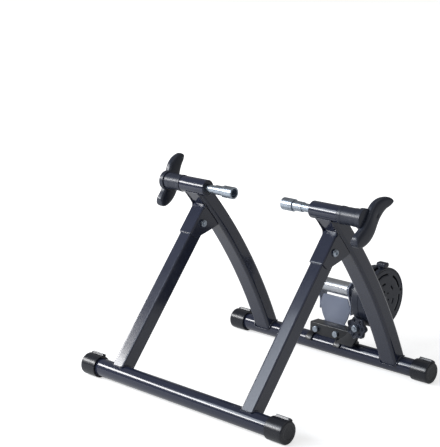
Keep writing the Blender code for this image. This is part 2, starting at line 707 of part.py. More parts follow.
def axle_cup(side):
    """Cup that swallows the end of a wheel's axle skewer, with a flat rim."""
    bore = ROD_SPIGOT_RADIUS + CONTACT_GAP
    floor = CUP_INNER_END + CUP_BORE_DEPTH
    profile = [
        (CUP_RADIUS, CUP_OUTER_END), (CUP_RADIUS, CUP_INNER_END + CUP_CHAMFER),
        (CUP_RADIUS - CUP_CHAMFER, CUP_INNER_END),
        (CUP_BORE_RADIUS, CUP_INNER_END), (CUP_BORE_RADIUS, floor), (bore, floor), (bore, CUP_OUTER_END),
    ]
    return turned("axle_cup_" + side_name(side), ZINC, profile, on_axis(CLAMP_AXIS), across(side))


def handle_cam(side):
    profile = [(0.0, CAM_OUTER_END), (CAM_RADIUS, CAM_OUTER_END), (CAM_RADIUS, CAM_INNER_END), (0.0, CAM_INNER_END)]
    return turned("handle_cam_" + side_name(side), ZINC, profile, on_axis(CLAMP_AXIS), across(side), SMALL_ROUND)


def smooth_loop(points, between):
    """A closed Catmull-Rom curve through the points, with extra points between each pair."""
    made = []
    count = len(points)
    for i in range(count):
        p0, p1, p2, p3 = (Vector(points[(i + k) % count]) for k in (-1, 0, 1, 2))
        for step in range(between):
            t = step / between
            spot = 0.5 * (
                2 * p1 + (p2 - p0) * t + (2 * p0 - 5 * p1 + 4 * p2 - p3) * t**2 + (3 * p1 - p0 - 3 * p2 + p3) * t**3
            )
            made.append((spot.x, spot.y))
    return made


def clamp_handle(side):
    """Crescent handle behind the clamp axis, on a round hub, with a toe that leans outward."""
    name = "clamp_handle_" + side_name(side)
    middle = HANDLE_INNER_FACE + HANDLE_THICKNESS / 2
    outline = smooth_loop(HANDLE_OUTLINE, 2)
    handle = prism(
        name, PLASTIC, outline, HANDLE_THICKNESS, on_axis(CLAMP_AXIS, side * middle), FACING_BACK, whole_faces=False
    )
    reach = max(back for back, _ in outline) - HANDLE_FLARE_START
    for vertex in handle.data.vertices:
        share = max(0.0, (vertex.co.x - HANDLE_FLARE_START) / reach)
        thin = 1.0 - share * (1.0 - HANDLE_TOE_THICKNESS / HANDLE_THICKNESS)
        vertex.co.z = vertex.co.z * thin + side * HANDLE_FLARE * share**1.5
    if side < 0:
        handle.data.transform(Matrix.Rotation(LEFT_HANDLE_TURN, 4, "Z"))
    round_edges(handle, HANDLE_EDGE, 2)
    start = COLLAR_OUTER_END + CONTACT_GAP
    hub = rod_cutter(name + "_hub", HUB_RADIUS, start, HUB_OUTER_END, on_axis(CLAMP_AXIS), across(side))
    bore = rod_cutter(
        name + "_bore", CAM_RADIUS + CONTACT_GAP, start - PAST, CAM_OUTER_END + CONTACT_GAP, on_axis(CLAMP_AXIS),
        across(side), SMALL_ROUND,
    )
    join(handle, hub)
    cut(handle, bore)
    return handle


# Roller unit: seat and knob


def unit_arm():
    """Arm in front of the tube that carries the knob, split into two leaves, on a shelf from the block."""
    outline = [
        (SHELF_INNER_END, SHELF_FLOOR), (SHELF_OUTER_END, SHELF_FLOOR), ARM_ELBOW,
        *arc((KNOB_X, KNOB_UP), ARM_HALF_WIDTH, -math.pi / 4, math.pi * 3 / 4, 13), ARM_SHOULDER,
        (SHELF_INNER_END, SHELF_TOP),
    ]
    y, z = REAR_AXIS
    arm = prism("unit_arm", None, outline, ARM_THICKNESS, (0.0, y + ARM_FRONT + ARM_THICKNESS / 2, z), FACING_FRONT)
    shelf = block(
        "unit_shelf", None, (SHELF_INNER_END, ARM_FRONT + ARM_THICKNESS / 2, SHELF_FLOOR),
        (SHELF_OUTER_END, UNIT_BLOCK_FRONT + UNIT_BLOCK_EDGE * 2, SHELF_TOP), 0.0, (0.0, 0.0, 0.0), on_axis(REAR_AXIS),
    )
    return arm, shelf


def unit_hook(side):
    """Strap that holds the block on the tube, open towards the front and the floor."""
    bore = FOOT_TUBE_RADIUS + RUNNING_GAP
    outline = arc((0.0, 0.0), bore + HOOK_THICKNESS, HOOK_HEEL, HOOK_TIP, 24)
    outline += arc((0.0, 0.0), bore - HOOK_THICKNESS, HOOK_TIP, HOOK_HEEL, 24)
    return prism(
        "unit_hook_" + side_name(side), None, outline, HOOK_WIDTH, on_axis(REAR_AXIS, side * HOOK_X), FACING_BACK
    )


def unit_saddle():
    """Block on the rear foot tube with two hooks round the tube and a split arm that carries the knob."""
    bore = FOOT_TUBE_RADIUS + RUNNING_GAP
    saddle = block(
        "unit_saddle", CAST, (-UNIT_BLOCK_HALF_WIDTH, UNIT_BLOCK_FRONT, UNIT_BLOCK_FLOOR),
        (UNIT_BLOCK_END, U_WEB_FRONT - CONTACT_GAP, UNIT_BLOCK_TOP), UNIT_BLOCK_EDGE, (0.0, 0.0, 0.0),
        on_axis(REAR_AXIS),
    )
    middle = ARM_FRONT + ARM_THICKNESS / 2
    slit = block(
        "unit_slit", None, (SHELF_INNER_END, middle - ARM_SLIT / 2, ARM_SLIT_FLOOR),
        (KNOB_X + 2 * ARM_HALF_WIDTH, middle + ARM_SLIT / 2, KNOB_UP + 2 * ARM_HALF_WIDTH), 0.0, (0.0, 0.0, 0.0),
        on_axis(REAR_AXIS),
    )
    tube = rod_cutter(
        "unit_bore", bore, -UNIT_BLOCK_HALF_WIDTH - PAST, UNIT_BLOCK_END + PAST, on_axis(REAR_AXIS), across(1),
        BIG_ROUND,
    )
    bolt = rod_cutter(
        "unit_bolt_hole", KNOB_BOLT_RADIUS + CONTACT_GAP, -ARM_THICKNESS, ARM_THICKNESS,
        (KNOB_X, REAR_AXIS[0] + middle, REAR_AXIS[1] + KNOB_UP), FACING_FRONT, SMALL_ROUND,
    )
    seats = [
        rod_cutter(
            "unit_seat_hole_" + side_name(side), SEAT_BOLT_RADIUS + CONTACT_GAP, -2 * U_WEB_FRONT, 2 * U_WEB_FRONT,
            (side * SEAT_BOLT_X, REAR_AXIS[0], REAR_AXIS[1] + SEAT_BOLT_UP), FACING_FRONT, SMALL_ROUND,
        )
        for side in (-1, 1)
    ]
    join(saddle, unit_hook(-1), unit_hook(1), *unit_arm())
    cut(saddle, tube, slit, bolt, *seats)
    return saddle


def seat_bolt(side):
    """Hexagon bolt through the block and the U bracket's tab."""
    name = "seat_bolt_" + side_name(side)
    place = (side * SEAT_BOLT_X, REAR_AXIS[0], REAR_AXIS[1] + SEAT_BOLT_UP)
    front = -UNIT_BLOCK_FRONT + CONTACT_GAP
    end = -(U_WEB_FRONT + U_SHEET + CONTACT_GAP + SEAT_NUT_HEIGHT + BOLT_END)
    head = hexagon(
        name, ZINC, SEAT_BOLT_HEAD_RADIUS, SEAT_BOLT_HEAD_HEIGHT,
        (place[0], place[1] - front, place[2]), FACING_FRONT,
    )
    shank = rod_cutter(
        name + "_shank", SEAT_BOLT_RADIUS, end, front + SEAT_BOLT_HEAD_HEIGHT / 2, place, FACING_FRONT, SMALL_ROUND
    )
    join(head, shank)
    return head


def seat_nut(side):
    name = "seat_nut_" + side_name(side)
    start = U_WEB_FRONT + U_SHEET + CONTACT_GAP + SEAT_NUT_HEIGHT
    place = (side * SEAT_BOLT_X, REAR_AXIS[0] + start, REAR_AXIS[1] + SEAT_BOLT_UP)
    nut = hexagon(name, ZINC, SEAT_BOLT_HEAD_RADIUS, SEAT_NUT_HEIGHT, place, FACING_FRONT)
    bore = rod_cutter(
        name + "_bore", SEAT_BOLT_RADIUS + CONTACT_GAP, -PAST, 2 * PAST, place, FACING_FRONT, SMALL_ROUND
    )
    cut(nut, bore)
    return nut


def knob_place():
    """Where the knob's axis meets its rear face."""
    return (KNOB_X, REAR_AXIS[0] - KNOB_FORWARD, REAR_AXIS[1] + KNOB_UP)


def tension_knob():
    """Lobed hand knob that draws the arm's two leaves together."""
    count = KNOB_LOBES * 8
    outline = []
    for i in range(count):
        angle = 2 * math.pi * i / count
        radius = KNOB_RADIUS + KNOB_LOBE * math.cos(KNOB_LOBES * angle)
        outline.append((radius * math.cos(angle), radius * math.sin(angle)))
    x, y, z = knob_place()
    knob = prism("tension_knob", PLASTIC, outline, KNOB_THICKNESS, (x, y - KNOB_THICKNESS / 2, z), FACING_FRONT)
    round_edges(knob, KNOB_EDGE, 2)
    bore = rod_cutter(
        "knob_bore", KNOB_BOLT_RADIUS + RUNNING_GAP, -PAST, 2 * PAST, (x, y, z), FACING_FRONT, SMALL_ROUND
    )
    cut(knob, bore)
    return knob


def knob_nut():
    x, y, z = knob_place()
    place = (x, y - KNOB_THICKNESS - CONTACT_GAP, z)
    nut = hexagon("knob_nut", ZINC, KNOB_NUT_RADIUS, KNOB_NUT_HEIGHT, place, FACING_FRONT)
    bore = rod_cutter("nut_bore", KNOB_BOLT_RADIUS + RUNNING_GAP, -PAST, 2 * PAST, place, FACING_FRONT, SMALL_ROUND)
    cut(nut, bore)
    return nut


def band_bolt():
    """Round-headed bolt through both leaves of the arm, on which the knob turns."""
    x, y, z = knob_place()
    back = -(CONTACT_GAP + ARM_THICKNESS + CONTACT_GAP)
    front = KNOB_THICKNESS + CONTACT_GAP + KNOB_NUT_HEIGHT + 2 * BOLT_END
    profile = [
        (0.0, front), (KNOB_BOLT_RADIUS, front), (KNOB_BOLT_RADIUS, back), (KNOB_BOLT_HEAD_RADIUS, back),
        (KNOB_BOLT_HEAD_RADIUS * 0.7, back - KNOB_BOLT_HEAD_HEIGHT), (0.0, back - KNOB_BOLT_HEAD_HEIGHT),
    ]
    return turned("band_bolt", ZINC, profile, (x, y, z), FACING_FRONT, SMALL_ROUND)


# Roller unit: U bracket, bearings, roller, shaft


def u_bracket():
    """Sheet-steel U: a web below and before the roller, with a cheek on each side up to the bearings."""
    name = "u_bracket"
    y, z = REAR_AXIS
    outline = [
        (U_WEB_TOP_HALF, U_WEB_TOP), (-U_WEB_TOP_HALF, U_WEB_TOP), (-U_HALF_GAP - U_SHEET / 2, U_WEB_WIDEST),
        (-U_WEB_LOWER_HALF, U_WEB_LOWER), (-U_WEB_BOTTOM_HALF, U_WEB_BOTTOM), (-U_TAB_HALF, U_WEB_BOTTOM - U_TAB_STEP),
        (-U_TAB_HALF, U_TAB_BOTTOM), (U_TAB_HALF, U_TAB_BOTTOM), (U_TAB_HALF, U_WEB_BOTTOM - U_TAB_STEP),
        (U_WEB_BOTTOM_HALF, U_WEB_BOTTOM), (U_WEB_LOWER_HALF, U_WEB_LOWER),
        (U_HALF_GAP + U_SHEET / 2, U_WEB_WIDEST),
    ]
    web = prism(name, BRACKET_PAINT, outline, U_SHEET, (0.0, y + U_WEB_FRONT + U_SHEET / 2, z), FACING_FRONT)
    lobe = arc((ROLLER_BACK, ROLLER_UP), U_LOBE_RADIUS, math.radians(-25.0), math.radians(205.0), 20)
    cheek = [
        (U_WEB_FRONT, U_FLANGE_SHOULDER), (U_WEB_FRONT, U_FLANGE_FOOT), (U_WEB_FRONT + U_FLANGE_BACK, U_FLANGE_FOOT),
        *lobe,
    ]
    cheeks = [
        prism(
            name + "_cheek_" + side_name(side), None, cheek, U_SHEET,
            (side * (U_HALF_GAP + U_SHEET / 2), y, z), FACING_BACK,
        )
        for side in (-1, 1)
    ]
    seat = rod_cutter(
        name + "_bearing_seat", BEARING_RADIUS + CONTACT_GAP, -2 * U_HALF_GAP, 2 * U_HALF_GAP, on_axis(ROLLER_AXIS),
        across(1), SMALL_ROUND,
    )
    holes = [
        rod_cutter(
            name + "_seat_hole_" + side_name(side), SEAT_BOLT_RADIUS + CONTACT_GAP, -2 * U_WEB_FRONT, 2 * U_WEB_FRONT,
            (side * SEAT_BOLT_X, y, z + SEAT_BOLT_UP), FACING_FRONT, SMALL_ROUND,
        )
        for side in (-1, 1)
    ]
    join(web, *cheeks)
    cut(web, seat, *holes)
    return web


def bearing(side):
    start = U_HALF_GAP + U_SHEET / 2 - BEARING_WIDTH / 2
    profile = tube_profile(BEARING_RADIUS, SHAFT_RADIUS + RUNNING_GAP, start, start + BEARING_WIDTH, BEARING_CHAMFER)
    return turned("bearing_" + side_name(side), BARE_STEEL, profile, on_axis(ROLLER_AXIS), across(side), SMALL_ROUND)


def roller():
    end, chamfer = ROLLER_HALF_LENGTH, ROLLER_END_CHAMFER
    bore = SHAFT_RADIUS + CONTACT_GAP
    profile = [
        (ROLLER_RADIUS - chamfer, end), (ROLLER_RADIUS, end - chamfer), (ROLLER_RADIUS, chamfer - end),
        (ROLLER_RADIUS - chamfer, -end), (bore, -end), (bore, end),
    ]
    return turned("roller", POLISHED, profile, on_axis(ROLLER_AXIS), across(1))


def shaft_left_end():
    return -(U_HALF_GAP + U_SHEET / 2 + BEARING_WIDTH / 2 + CONTACT_GAP + SHAFT_NUT_HEIGHT + SHAFT_THREAD)


def roller_shaft():
    start = shaft_left_end()
    profile = [(0.0, SHAFT_OUTER_END), (SHAFT_RADIUS, SHAFT_OUTER_END), (SHAFT_RADIUS, start), (0.0, start)]
    return turned("roller_shaft", BARE_STEEL, profile, on_axis(ROLLER_AXIS), across(1), SMALL_ROUND)


def shaft_nut():
    place = on_axis(ROLLER_AXIS, shaft_left_end() + SHAFT_THREAD)
    nut = hexagon("shaft_nut", ZINC, SHAFT_NUT_RADIUS, SHAFT_NUT_HEIGHT, place, across(1))
    bore = rod_cutter("shaft_nut_bore", SHAFT_RADIUS + CONTACT_GAP, -PAST, 2 * PAST, place, across(1), SMALL_ROUND)
    cut(nut, bore)
    return nut


# Roller unit: drum


def flywheel():
    bore = SHAFT_RADIUS + CONTACT_GAP
    profile = tube_profile(FLYWHEEL_RADIUS, bore, FLYWHEEL_INNER_FACE, FLYWHEEL_OUTER_FACE, FLYWHEEL_CHAMFER)
    return turned("flywheel", BARE_STEEL, profile, on_axis(ROLLER_AXIS), across(1))


def drum_housing():
    """Open cup round the flywheel, on a boss against the U bracket, with a slot for the selector's arm."""
    mouth = DRUM_OUTER_FACE - COVER_SHEET - CONTACT_GAP
    foot = U_HALF_GAP + U_SHEET + CONTACT_GAP
    bearing_end = U_HALF_GAP + U_SHEET / 2 + BEARING_WIDTH / 2 + CONTACT_GAP
    floor = DRUM_INNER_FACE + DRUM_BACK_SHEET
    bore = SHAFT_RADIUS + 2 * RUNNING_GAP
    socket = BEARING_RADIUS + CONTACT_GAP
    profile = [
        (DRUM_RADIUS, mouth), (DRUM_RADIUS, DRUM_INNER_FACE + DRUM_SHOULDER),
        (DRUM_RADIUS - DRUM_SHOULDER, DRUM_INNER_FACE), (DRUM_BOSS_RADIUS + DRUM_BOSS_FLARE, DRUM_INNER_FACE),
        (DRUM_BOSS_RADIUS, DRUM_INNER_FACE - DRUM_BOSS_FLARE), (DRUM_BOSS_RADIUS, foot), (socket, foot),
        (socket, bearing_end), (bore, bearing_end), (bore, floor), (DRUM_BORE, floor), (DRUM_BORE, mouth),
    ]
    housing = turned("drum_housing", PLASTIC, profile, on_axis(ROLLER_AXIS), across(1), BIG_ROUND)
    half = SELECTOR_SWING + math.atan2(SELECTOR_ARM_WIDTH / 2 + SELECTOR_SLOT_SIDE, DRUM_BORE)
    slot = arc((0.0, 0.0), DRUM_RADIUS + PAST, math.pi / 2 - half, math.pi / 2 + half, 15)
    slot += arc((0.0, 0.0), DRUM_BORE - PAST, math.pi / 2 + half, math.pi / 2 - half, 15)
    middle = CARRIER_INNER_FACE + CARRIER_SHEET / 2
    window = prism(
        "selector_window", None, slot, CARRIER_SHEET + 2 * SELECTOR_SLOT_SIDE, on_axis(ROLLER_AXIS, middle),
        FACING_BACK,
    )
    cut(housing, window)
    return housing


def ring_slots(count, radius, width, span):
    """Outlines of arc-shaped slots with round ends, spaced evenly round the cover."""
    outlines = []
    for i in range(count):
        middle = 2 * math.pi * i / count + SLOT_TURN
        start, end = middle - span / 2, middle + span / 2
        heads = [(radius * math.cos(a), radius * math.sin(a)) for a in (start, end)]
        outline = arc((0.0, 0.0), radius + width / 2, start, end, 6)
        outline += arc(heads[1], width / 2, end, end + math.pi, 4)[1:-1]
        outline += arc((0.0, 0.0), radius - width / 2, end, start, 6)
        outline += arc(heads[0], width / 2, start + math.pi, start + 2 * math.pi, 4)[1:-1]
        outlines.append(outline)
    return outlines


def cover_cutter():
    """All the cover's openings, as one cutter of separate prisms."""
    curve = bpy.data.curves.new("cover_openings", "CURVE")
    curve.dimensions = "2D"
    curve.fill_mode = "BOTH"
    curve.extrude = COVER_SHEET
    outlines = ring_slots(OUTER_SLOTS, OUTER_SLOT_RADIUS, OUTER_SLOT_WIDTH, OUTER_SLOT_SPAN)
    outlines += ring_slots(INNER_SLOTS, INNER_SLOT_RADIUS, INNER_SLOT_WIDTH, INNER_SLOT_SPAN)
    for i in range(VENTS):
        angle = 2 * math.pi * i / VENTS + SLOT_TURN
        centre = (VENT_CIRCLE * math.cos(angle), VENT_CIRCLE * math.sin(angle))
        outlines.append(arc(centre, VENT_RADIUS, 0.0, 2 * math.pi * 9 / 10, 10))
    for outline in outlines:
        spline = curve.splines.new("POLY")
        spline.points.add(len(outline) - 1)
        for point, (back, up) in zip(spline.points, outline):
            point.co = (back, up, 0.0, 1.0)
        spline.use_cyclic_u = True
    place = on_axis(ROLLER_AXIS, DRUM_OUTER_FACE - COVER_SHEET / 2)
    return settle(add_object("cover_openings", curve, None, place, FACING_BACK), None)


def drum_cover():
    """Slotted lid, with the hub inside it on which the magnet carrier turns."""
    back = DRUM_OUTER_FACE - COVER_SHEET
    profile = [
        (0.0, DRUM_OUTER_FACE), (DRUM_RADIUS - COVER_ROUNDING, DRUM_OUTER_FACE),
        (DRUM_RADIUS - COVER_ROUNDING * 0.3, DRUM_OUTER_FACE - COVER_ROUNDING * 0.3),
        (DRUM_RADIUS, DRUM_OUTER_FACE - COVER_ROUNDING), (DRUM_RADIUS, back), (COVER_HUB_RADIUS, back),
        (COVER_HUB_RADIUS, COVER_HUB_END), (0.0, COVER_HUB_END),
    ]
    cover = turned("drum_cover", PLASTIC, profile, on_axis(ROLLER_AXIS), across(1), BIG_ROUND)
    cut(cover, cover_cutter())
    return cover


def cover_screw(index):
    angle = 2 * math.pi * index / COVER_SCREWS + COVER_SCREW_TURN
    start = DRUM_OUTER_FACE + CONTACT_GAP
    place = (
        0.0,
        ROLLER_AXIS[0] + COVER_SCREW_CIRCLE * math.cos(angle),
        ROLLER_AXIS[1] + COVER_SCREW_CIRCLE * math.sin(angle),
    )
    top = start + COVER_SCREW_HEIGHT
    profile = [
        (0.0, top), (COVER_SCREW_RADIUS * 0.6, top), (COVER_SCREW_RADIUS, start + COVER_SCREW_HEIGHT / 2),
        (COVER_SCREW_RADIUS, start), (0.0, start),
    ]
    return turned(f"cover_screw_{index + 1}", CAST, profile, place, across(1), SMALL_ROUND)


def magnet_carrier():
    """Disc on the cover's hub, with an arm through the housing's slot up to the selector."""
    start, end = CARRIER_INNER_FACE, CARRIER_INNER_FACE + CARRIER_SHEET
    profile = tube_profile(CARRIER_RADIUS, COVER_HUB_RADIUS + RUNNING_GAP, start, end)
    carrier = turned("magnet_carrier", PLASTIC, profile, on_axis(ROLLER_AXIS), across(1))
    arm = block(
        "selector_arm", None, (start, -SELECTOR_ARM_WIDTH / 2, CARRIER_RADIUS - SELECTOR_ARM_ROOT),
        (end, SELECTOR_ARM_WIDTH / 2, SELECTOR_FLOOR + SELECTOR_ARM_ROOT), 0.0, (0.0, 0.0, 0.0), on_axis(ROLLER_AXIS),
    )
    lever = block(
        "selector_lever", None, (SELECTOR_INNER_END, -SELECTOR_HALF_WIDTH, SELECTOR_FLOOR),
        (SELECTOR_OUTER_END, SELECTOR_HALF_WIDTH, SELECTOR_TOP), SELECTOR_EDGE, (0.0, 0.0, 0.0), on_axis(ROLLER_AXIS),
    )
    join(carrier, arm, lever)
    return carrier


def magnet(index):
    angle = 2 * math.pi * (index + 0.5) / MAGNETS
    end = CARRIER_INNER_FACE - CONTACT_GAP
    place = (
        0.0,
        ROLLER_AXIS[0] + MAGNET_CIRCLE * math.cos(angle),
        ROLLER_AXIS[1] + MAGNET_CIRCLE * math.sin(angle),
    )
    profile = [(0.0, end), (MAGNET_RADIUS, end), (MAGNET_RADIUS, end - MAGNET_HEIGHT), (0.0, end - MAGNET_HEIGHT)]
    return turned(f"magnet_{index + 1}", BARE_STEEL, profile, place, across(1), SMALL_ROUND)


def build_stand():
    foot_tube("front_foot_tube", FRONT_AXIS)
    foot_tube("rear_foot_tube", REAR_AXIS)
    for side in (-1, 1):
        foot_cap("front_foot_cap_" + side_name(side), FRONT_AXIS, side)
        foot_cap("rear_foot_cap_" + side_name(side), REAR_AXIS, side)
        front_leg(side)
        rear_leg(side)
        pivot_bracket(side)
        pivot_bolt(side)
        pivot_nut(side)


def build_clamps():
    for side in (-1, 1):
        clamp_tube(side)
        clamp_bush(side)
        clamp_collar(side)
        clamp_rod(side)
        axle_cup(side)
        handle_cam(side)
        clamp_handle(side)


def build_unit():
    unit_saddle()
    for side in (-1, 1):
        seat_bolt(side)
        seat_nut(side)
        bearing(side)
    tension_knob()
    knob_nut()
    band_bolt()
    u_bracket()
    roller()
    roller_shaft()
    shaft_nut()
    flywheel()
    drum_housing()
    drum_cover()
    for index in range(COVER_SCREWS):
        cover_screw(index)
    magnet_carrier()
    for index in range(MAGNETS):
        magnet(index)


clear_scene()
PARTS = new_collection("bicycle_trainer")
CUTTERS = new_collection("bicycle_trainer_cutters")
ORIGIN = new_origin()
STEEL = new_material("dark_painted_steel", (0.030, 0.034, 0.045), 0.35, 0.0)
RUBBER = new_material("black_cap_plastic", (0.020, 0.020, 0.022), 0.55, 0.0)
PLASTIC = new_material("black_plastic", (0.028, 0.029, 0.034), 0.45, 0.0)
CAST = new_material("black_painted_steel", (0.018, 0.018, 0.020), 0.45, 0.0)
BRACKET_PAINT = new_material("grey_painted_steel", (0.170, 0.190, 0.230), 0.45, 0.0)
ZINC = new_material("zinc_plated_steel", (0.600, 0.620, 0.650), 0.30, 1.0)
POLISHED = new_material("polished_steel", (0.620, 0.630, 0.640), 0.20, 1.0)
BARE_STEEL = new_material("bare_steel", (0.450, 0.450, 0.460), 0.35, 1.0)
build_stand()
build_clamps()
build_unit()
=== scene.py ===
# %% [markdown]
# # An indoor bicycle trainer
# A folding steel A-frame with two axle clamps, and behind it a roller that is braked by a magnet drum.
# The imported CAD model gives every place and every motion. This file dresses it: smooth surfaces worked
# out with numpy take the place of the faceted solids, and each gets the finish of the real piece.

# %% Load the frame
import json
import math
import bmesh
import bpy
import numpy as np
from mathutils import Matrix, Vector


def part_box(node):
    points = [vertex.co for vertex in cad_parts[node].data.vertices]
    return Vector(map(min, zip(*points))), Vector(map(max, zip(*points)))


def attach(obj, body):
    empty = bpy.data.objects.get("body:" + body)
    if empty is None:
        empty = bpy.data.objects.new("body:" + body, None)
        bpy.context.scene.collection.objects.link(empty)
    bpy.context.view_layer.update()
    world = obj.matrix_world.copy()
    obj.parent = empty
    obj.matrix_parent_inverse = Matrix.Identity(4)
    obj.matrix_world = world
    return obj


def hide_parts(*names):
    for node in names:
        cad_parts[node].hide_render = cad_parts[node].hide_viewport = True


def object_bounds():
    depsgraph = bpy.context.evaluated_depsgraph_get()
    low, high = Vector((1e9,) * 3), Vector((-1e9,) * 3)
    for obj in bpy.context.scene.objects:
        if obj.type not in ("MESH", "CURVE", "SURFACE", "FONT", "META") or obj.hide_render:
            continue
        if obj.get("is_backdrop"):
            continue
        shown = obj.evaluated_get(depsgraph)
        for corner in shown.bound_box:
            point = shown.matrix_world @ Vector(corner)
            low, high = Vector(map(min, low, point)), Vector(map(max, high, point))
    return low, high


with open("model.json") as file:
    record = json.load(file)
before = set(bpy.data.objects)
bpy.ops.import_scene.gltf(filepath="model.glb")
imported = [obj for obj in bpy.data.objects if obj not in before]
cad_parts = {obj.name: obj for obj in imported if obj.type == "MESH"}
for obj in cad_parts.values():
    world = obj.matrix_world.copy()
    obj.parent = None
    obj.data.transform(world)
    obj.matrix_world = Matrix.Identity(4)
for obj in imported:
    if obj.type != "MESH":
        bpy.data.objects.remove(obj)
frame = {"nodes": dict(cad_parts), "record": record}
cad_low, cad_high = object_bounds()
print("CAD box in mm:", [round(1000 * (h - l), 1) for l, h in zip(cad_low, cad_high)])

# %% [markdown]
# ## Where the axes lie
# Nearly everything on this stand is round about an axis that runs from side to side (X). Each axis is a
# point in the side view, (back, up). They are read from the solids, so that the looks follow the frame.
# All sizes from here on are in millimetres, and a piece is scaled to metres when its mesh is made.

# %% Axes of the frame
MM = 0.001
GAP = 0.3  # the space between pieces that are welded or screwed together


def axis_of(node):
    """The middle of a node's box in the side view, (back, up), in mm."""
    low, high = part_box(node)
    return np.array([low.y + high.y, low.z + high.z]) / 2 / MM


FRONT, REAR = axis_of("front_foot_tube"), axis_of("rear_foot_tube")
CLAMP, PIVOT, ROLLER = axis_of("clamp_tube_right"), axis_of("pivot_bolt_right"), axis_of("roller")
SIDES = {"left": -1, "right": 1}
print("clamp axis", CLAMP.round(2), "roller axis", ROLLER.round(2))

# %% [markdown]
# ## The camera
# The photograph looks at the stand from its front right, a little from above, through a long lens.
# The camera's place and turn were solved from the stand's straight edges. Its direction is built from
# three angles: yaw about the vertical, pitch, and a slight roll.

# %% Camera
YAW, PITCH, ROLL = math.radians(43.36), math.radians(-12.95), math.radians(0.6)
EYE = np.array([1.6583, -1.9137, 0.9025])  # metres
FOCAL_LENGTH = 103.06  # mm, on a sensor 36 mm wide
forward = np.array([-math.sin(YAW) * math.cos(PITCH), math.cos(YAW) * math.cos(PITCH), math.sin(PITCH)])
level = np.array([math.cos(YAW), math.sin(YAW), 0.0])
above = np.cross(level, forward)
right = math.cos(ROLL) * level + math.sin(ROLL) * above
upward = math.cos(ROLL) * above - math.sin(ROLL) * level
camera = bpy.data.objects.new("camera", bpy.data.cameras.new("camera"))
bpy.context.scene.collection.objects.link(camera)
camera.matrix_world = Matrix([*np.stack([right, upward, -forward, EYE], -1), (0, 0, 0, 1)])
camera.data.lens = FOCAL_LENGTH
camera.data.clip_end = 100.0
bpy.context.scene.camera = camera
bpy.context.scene.view_settings.view_transform = "Standard"
print("camera", [round(v, 3) for v in camera.location])

# %% [markdown]
# ## Small helpers for materials
# Colours are written as they look on a screen (sRGB). Shaders need linear values, so one function turns
# a hex code into them. Another small function adds any node with its settings and its links.

# %% Colour and node helpers
def linear(code):
    """sRGB hex to linear RGBA: a channel c becomes ((c + 0.055) / 1.055) ** 2.4, or c / 12.92 when it is dark."""
    c = np.array([int(code[i:i + 2], 16) for i in (1, 3, 5)]) / 255
    return (*np.where(c > 0.04045, ((c + 0.055) / 1.055) ** 2.4, c / 12.92), 1.0)


def add_node(tree, kind, values=None, links=None, **settings):
    """One shader node. settings are its properties, values fill sockets, links bring (node, output) to a socket."""
    node = tree.nodes.new("ShaderNode" + kind)
    for name, value in settings.items():
        setattr(node, name, value)
    for socket, value in (values or {}).items():
        node.inputs[socket].default_value = value
    for socket, (source, output) in (links or {}).items():
        tree.links.new(source.outputs[output], node.inputs[socket])
    return node


def new_tree(name):
    """An empty material and its node tree."""
    material = bpy.data.materials.new(name)
    material.use_nodes = True
    material.node_tree.nodes.clear()
    return material, material.node_tree


print("white in linear light:", linear("#ffffff"))

# %% [markdown]
# ## Surroundings
# The photograph is a cut-out on white. Surroundings that really shone that white would wash out a dark
# stand, so they are white to the camera alone. Glossy and matte surfaces meet about a quarter of it.

# %% Surroundings
SKY_IN_MIRRORS, SKY_ON_MATTE = 0.24, 0.22  # shares of the white that glossy and all other rays meet
world = bpy.data.worlds.new("white_room")
bpy.context.scene.world = world
world.use_nodes = True
tree = world.node_tree
tree.nodes.clear()
rays = add_node(tree, "LightPath")
to_eye = {0: (rays, "Is Camera Ray"), 1: (rays, "Is Transmission Ray")}
seen = add_node(tree, "Math", links=to_eye, operation="MAXIMUM")
mirrored = add_node(tree, "Math", {1: SKY_IN_MIRRORS}, {0: (rays, "Is Glossy Ray")}, operation="MULTIPLY")
plain = add_node(tree, "Math", {1: SKY_ON_MATTE}, {0: (mirrored, 0)}, operation="MAXIMUM")
strength = add_node(tree, "Math", links={0: (seen, 0), 1: (plain, 0)}, operation="MAXIMUM")
sky = add_node(tree, "Background", {"Color": (1, 1, 1, 1)}, {"Strength": (strength, 0)})
add_node(tree, "OutputWorld", links={"Surface": (sky, 0)})
print("surroundings:", len(tree.nodes), "nodes")

# %% [markdown]
# ## Floor
# The floor plays the same trick. It glows white for the camera, and its diffuse part is still there, so
# it keeps the stand's shadow. Near the stand the glow is lower, which makes that shadow show.

# %% Floor
FLOOR_IN_MIRRORS = 0.22  # share of the floor's white that a glossy piece mirrors
FLOOR_RADIUS, FLOOR_DROP = 14.0, 0.0004  # metres: its reach, and how far it lies under the feet
material, tree = new_tree("white_floor")
rays = add_node(tree, "LightPath")
matte = add_node(tree, "BsdfDiffuse", {"Color": linear("#d8d8d8")})
spot = add_node(tree, "TexCoord")
away = add_node(tree, "VectorMath", links={0: (spot, "Object")}, operation="LENGTH")
fade = {"From Min": 0.5, "From Max": 1.5, "To Min": 0.64, "To Max": 1.0}
lift = add_node(tree, "MapRange", fade, {"Value": (away, "Value")})
glow = add_node(tree, "Emission", {"Color": (1, 1, 1, 1)}, {"Strength": (lift, 0)})
both = add_node(tree, "AddShader", links={0: (matte, 0), 1: (glow, 0)})
dimmed = add_node(tree, "Math", {1: FLOOR_IN_MIRRORS}, {0: (rays, "Is Glossy Ray")}, operation="MULTIPLY")
direct = add_node(tree, "Math", links={0: (rays, "Is Camera Ray"), 1: (dimmed, 0)}, operation="MAXIMUM")
choice = add_node(tree, "MixShader", links={"Fac": (direct, 0), 1: (matte, 0), 2: (both, 0)})
add_node(tree, "OutputMaterial", links={"Surface": (choice, 0)})
bpy.ops.mesh.primitive_circle_add(vertices=96, radius=FLOOR_RADIUS, fill_type="NGON", location=(0, 0, -FLOOR_DROP))
floor = bpy.context.object
floor.name = "floor"
floor.data.materials.append(material)
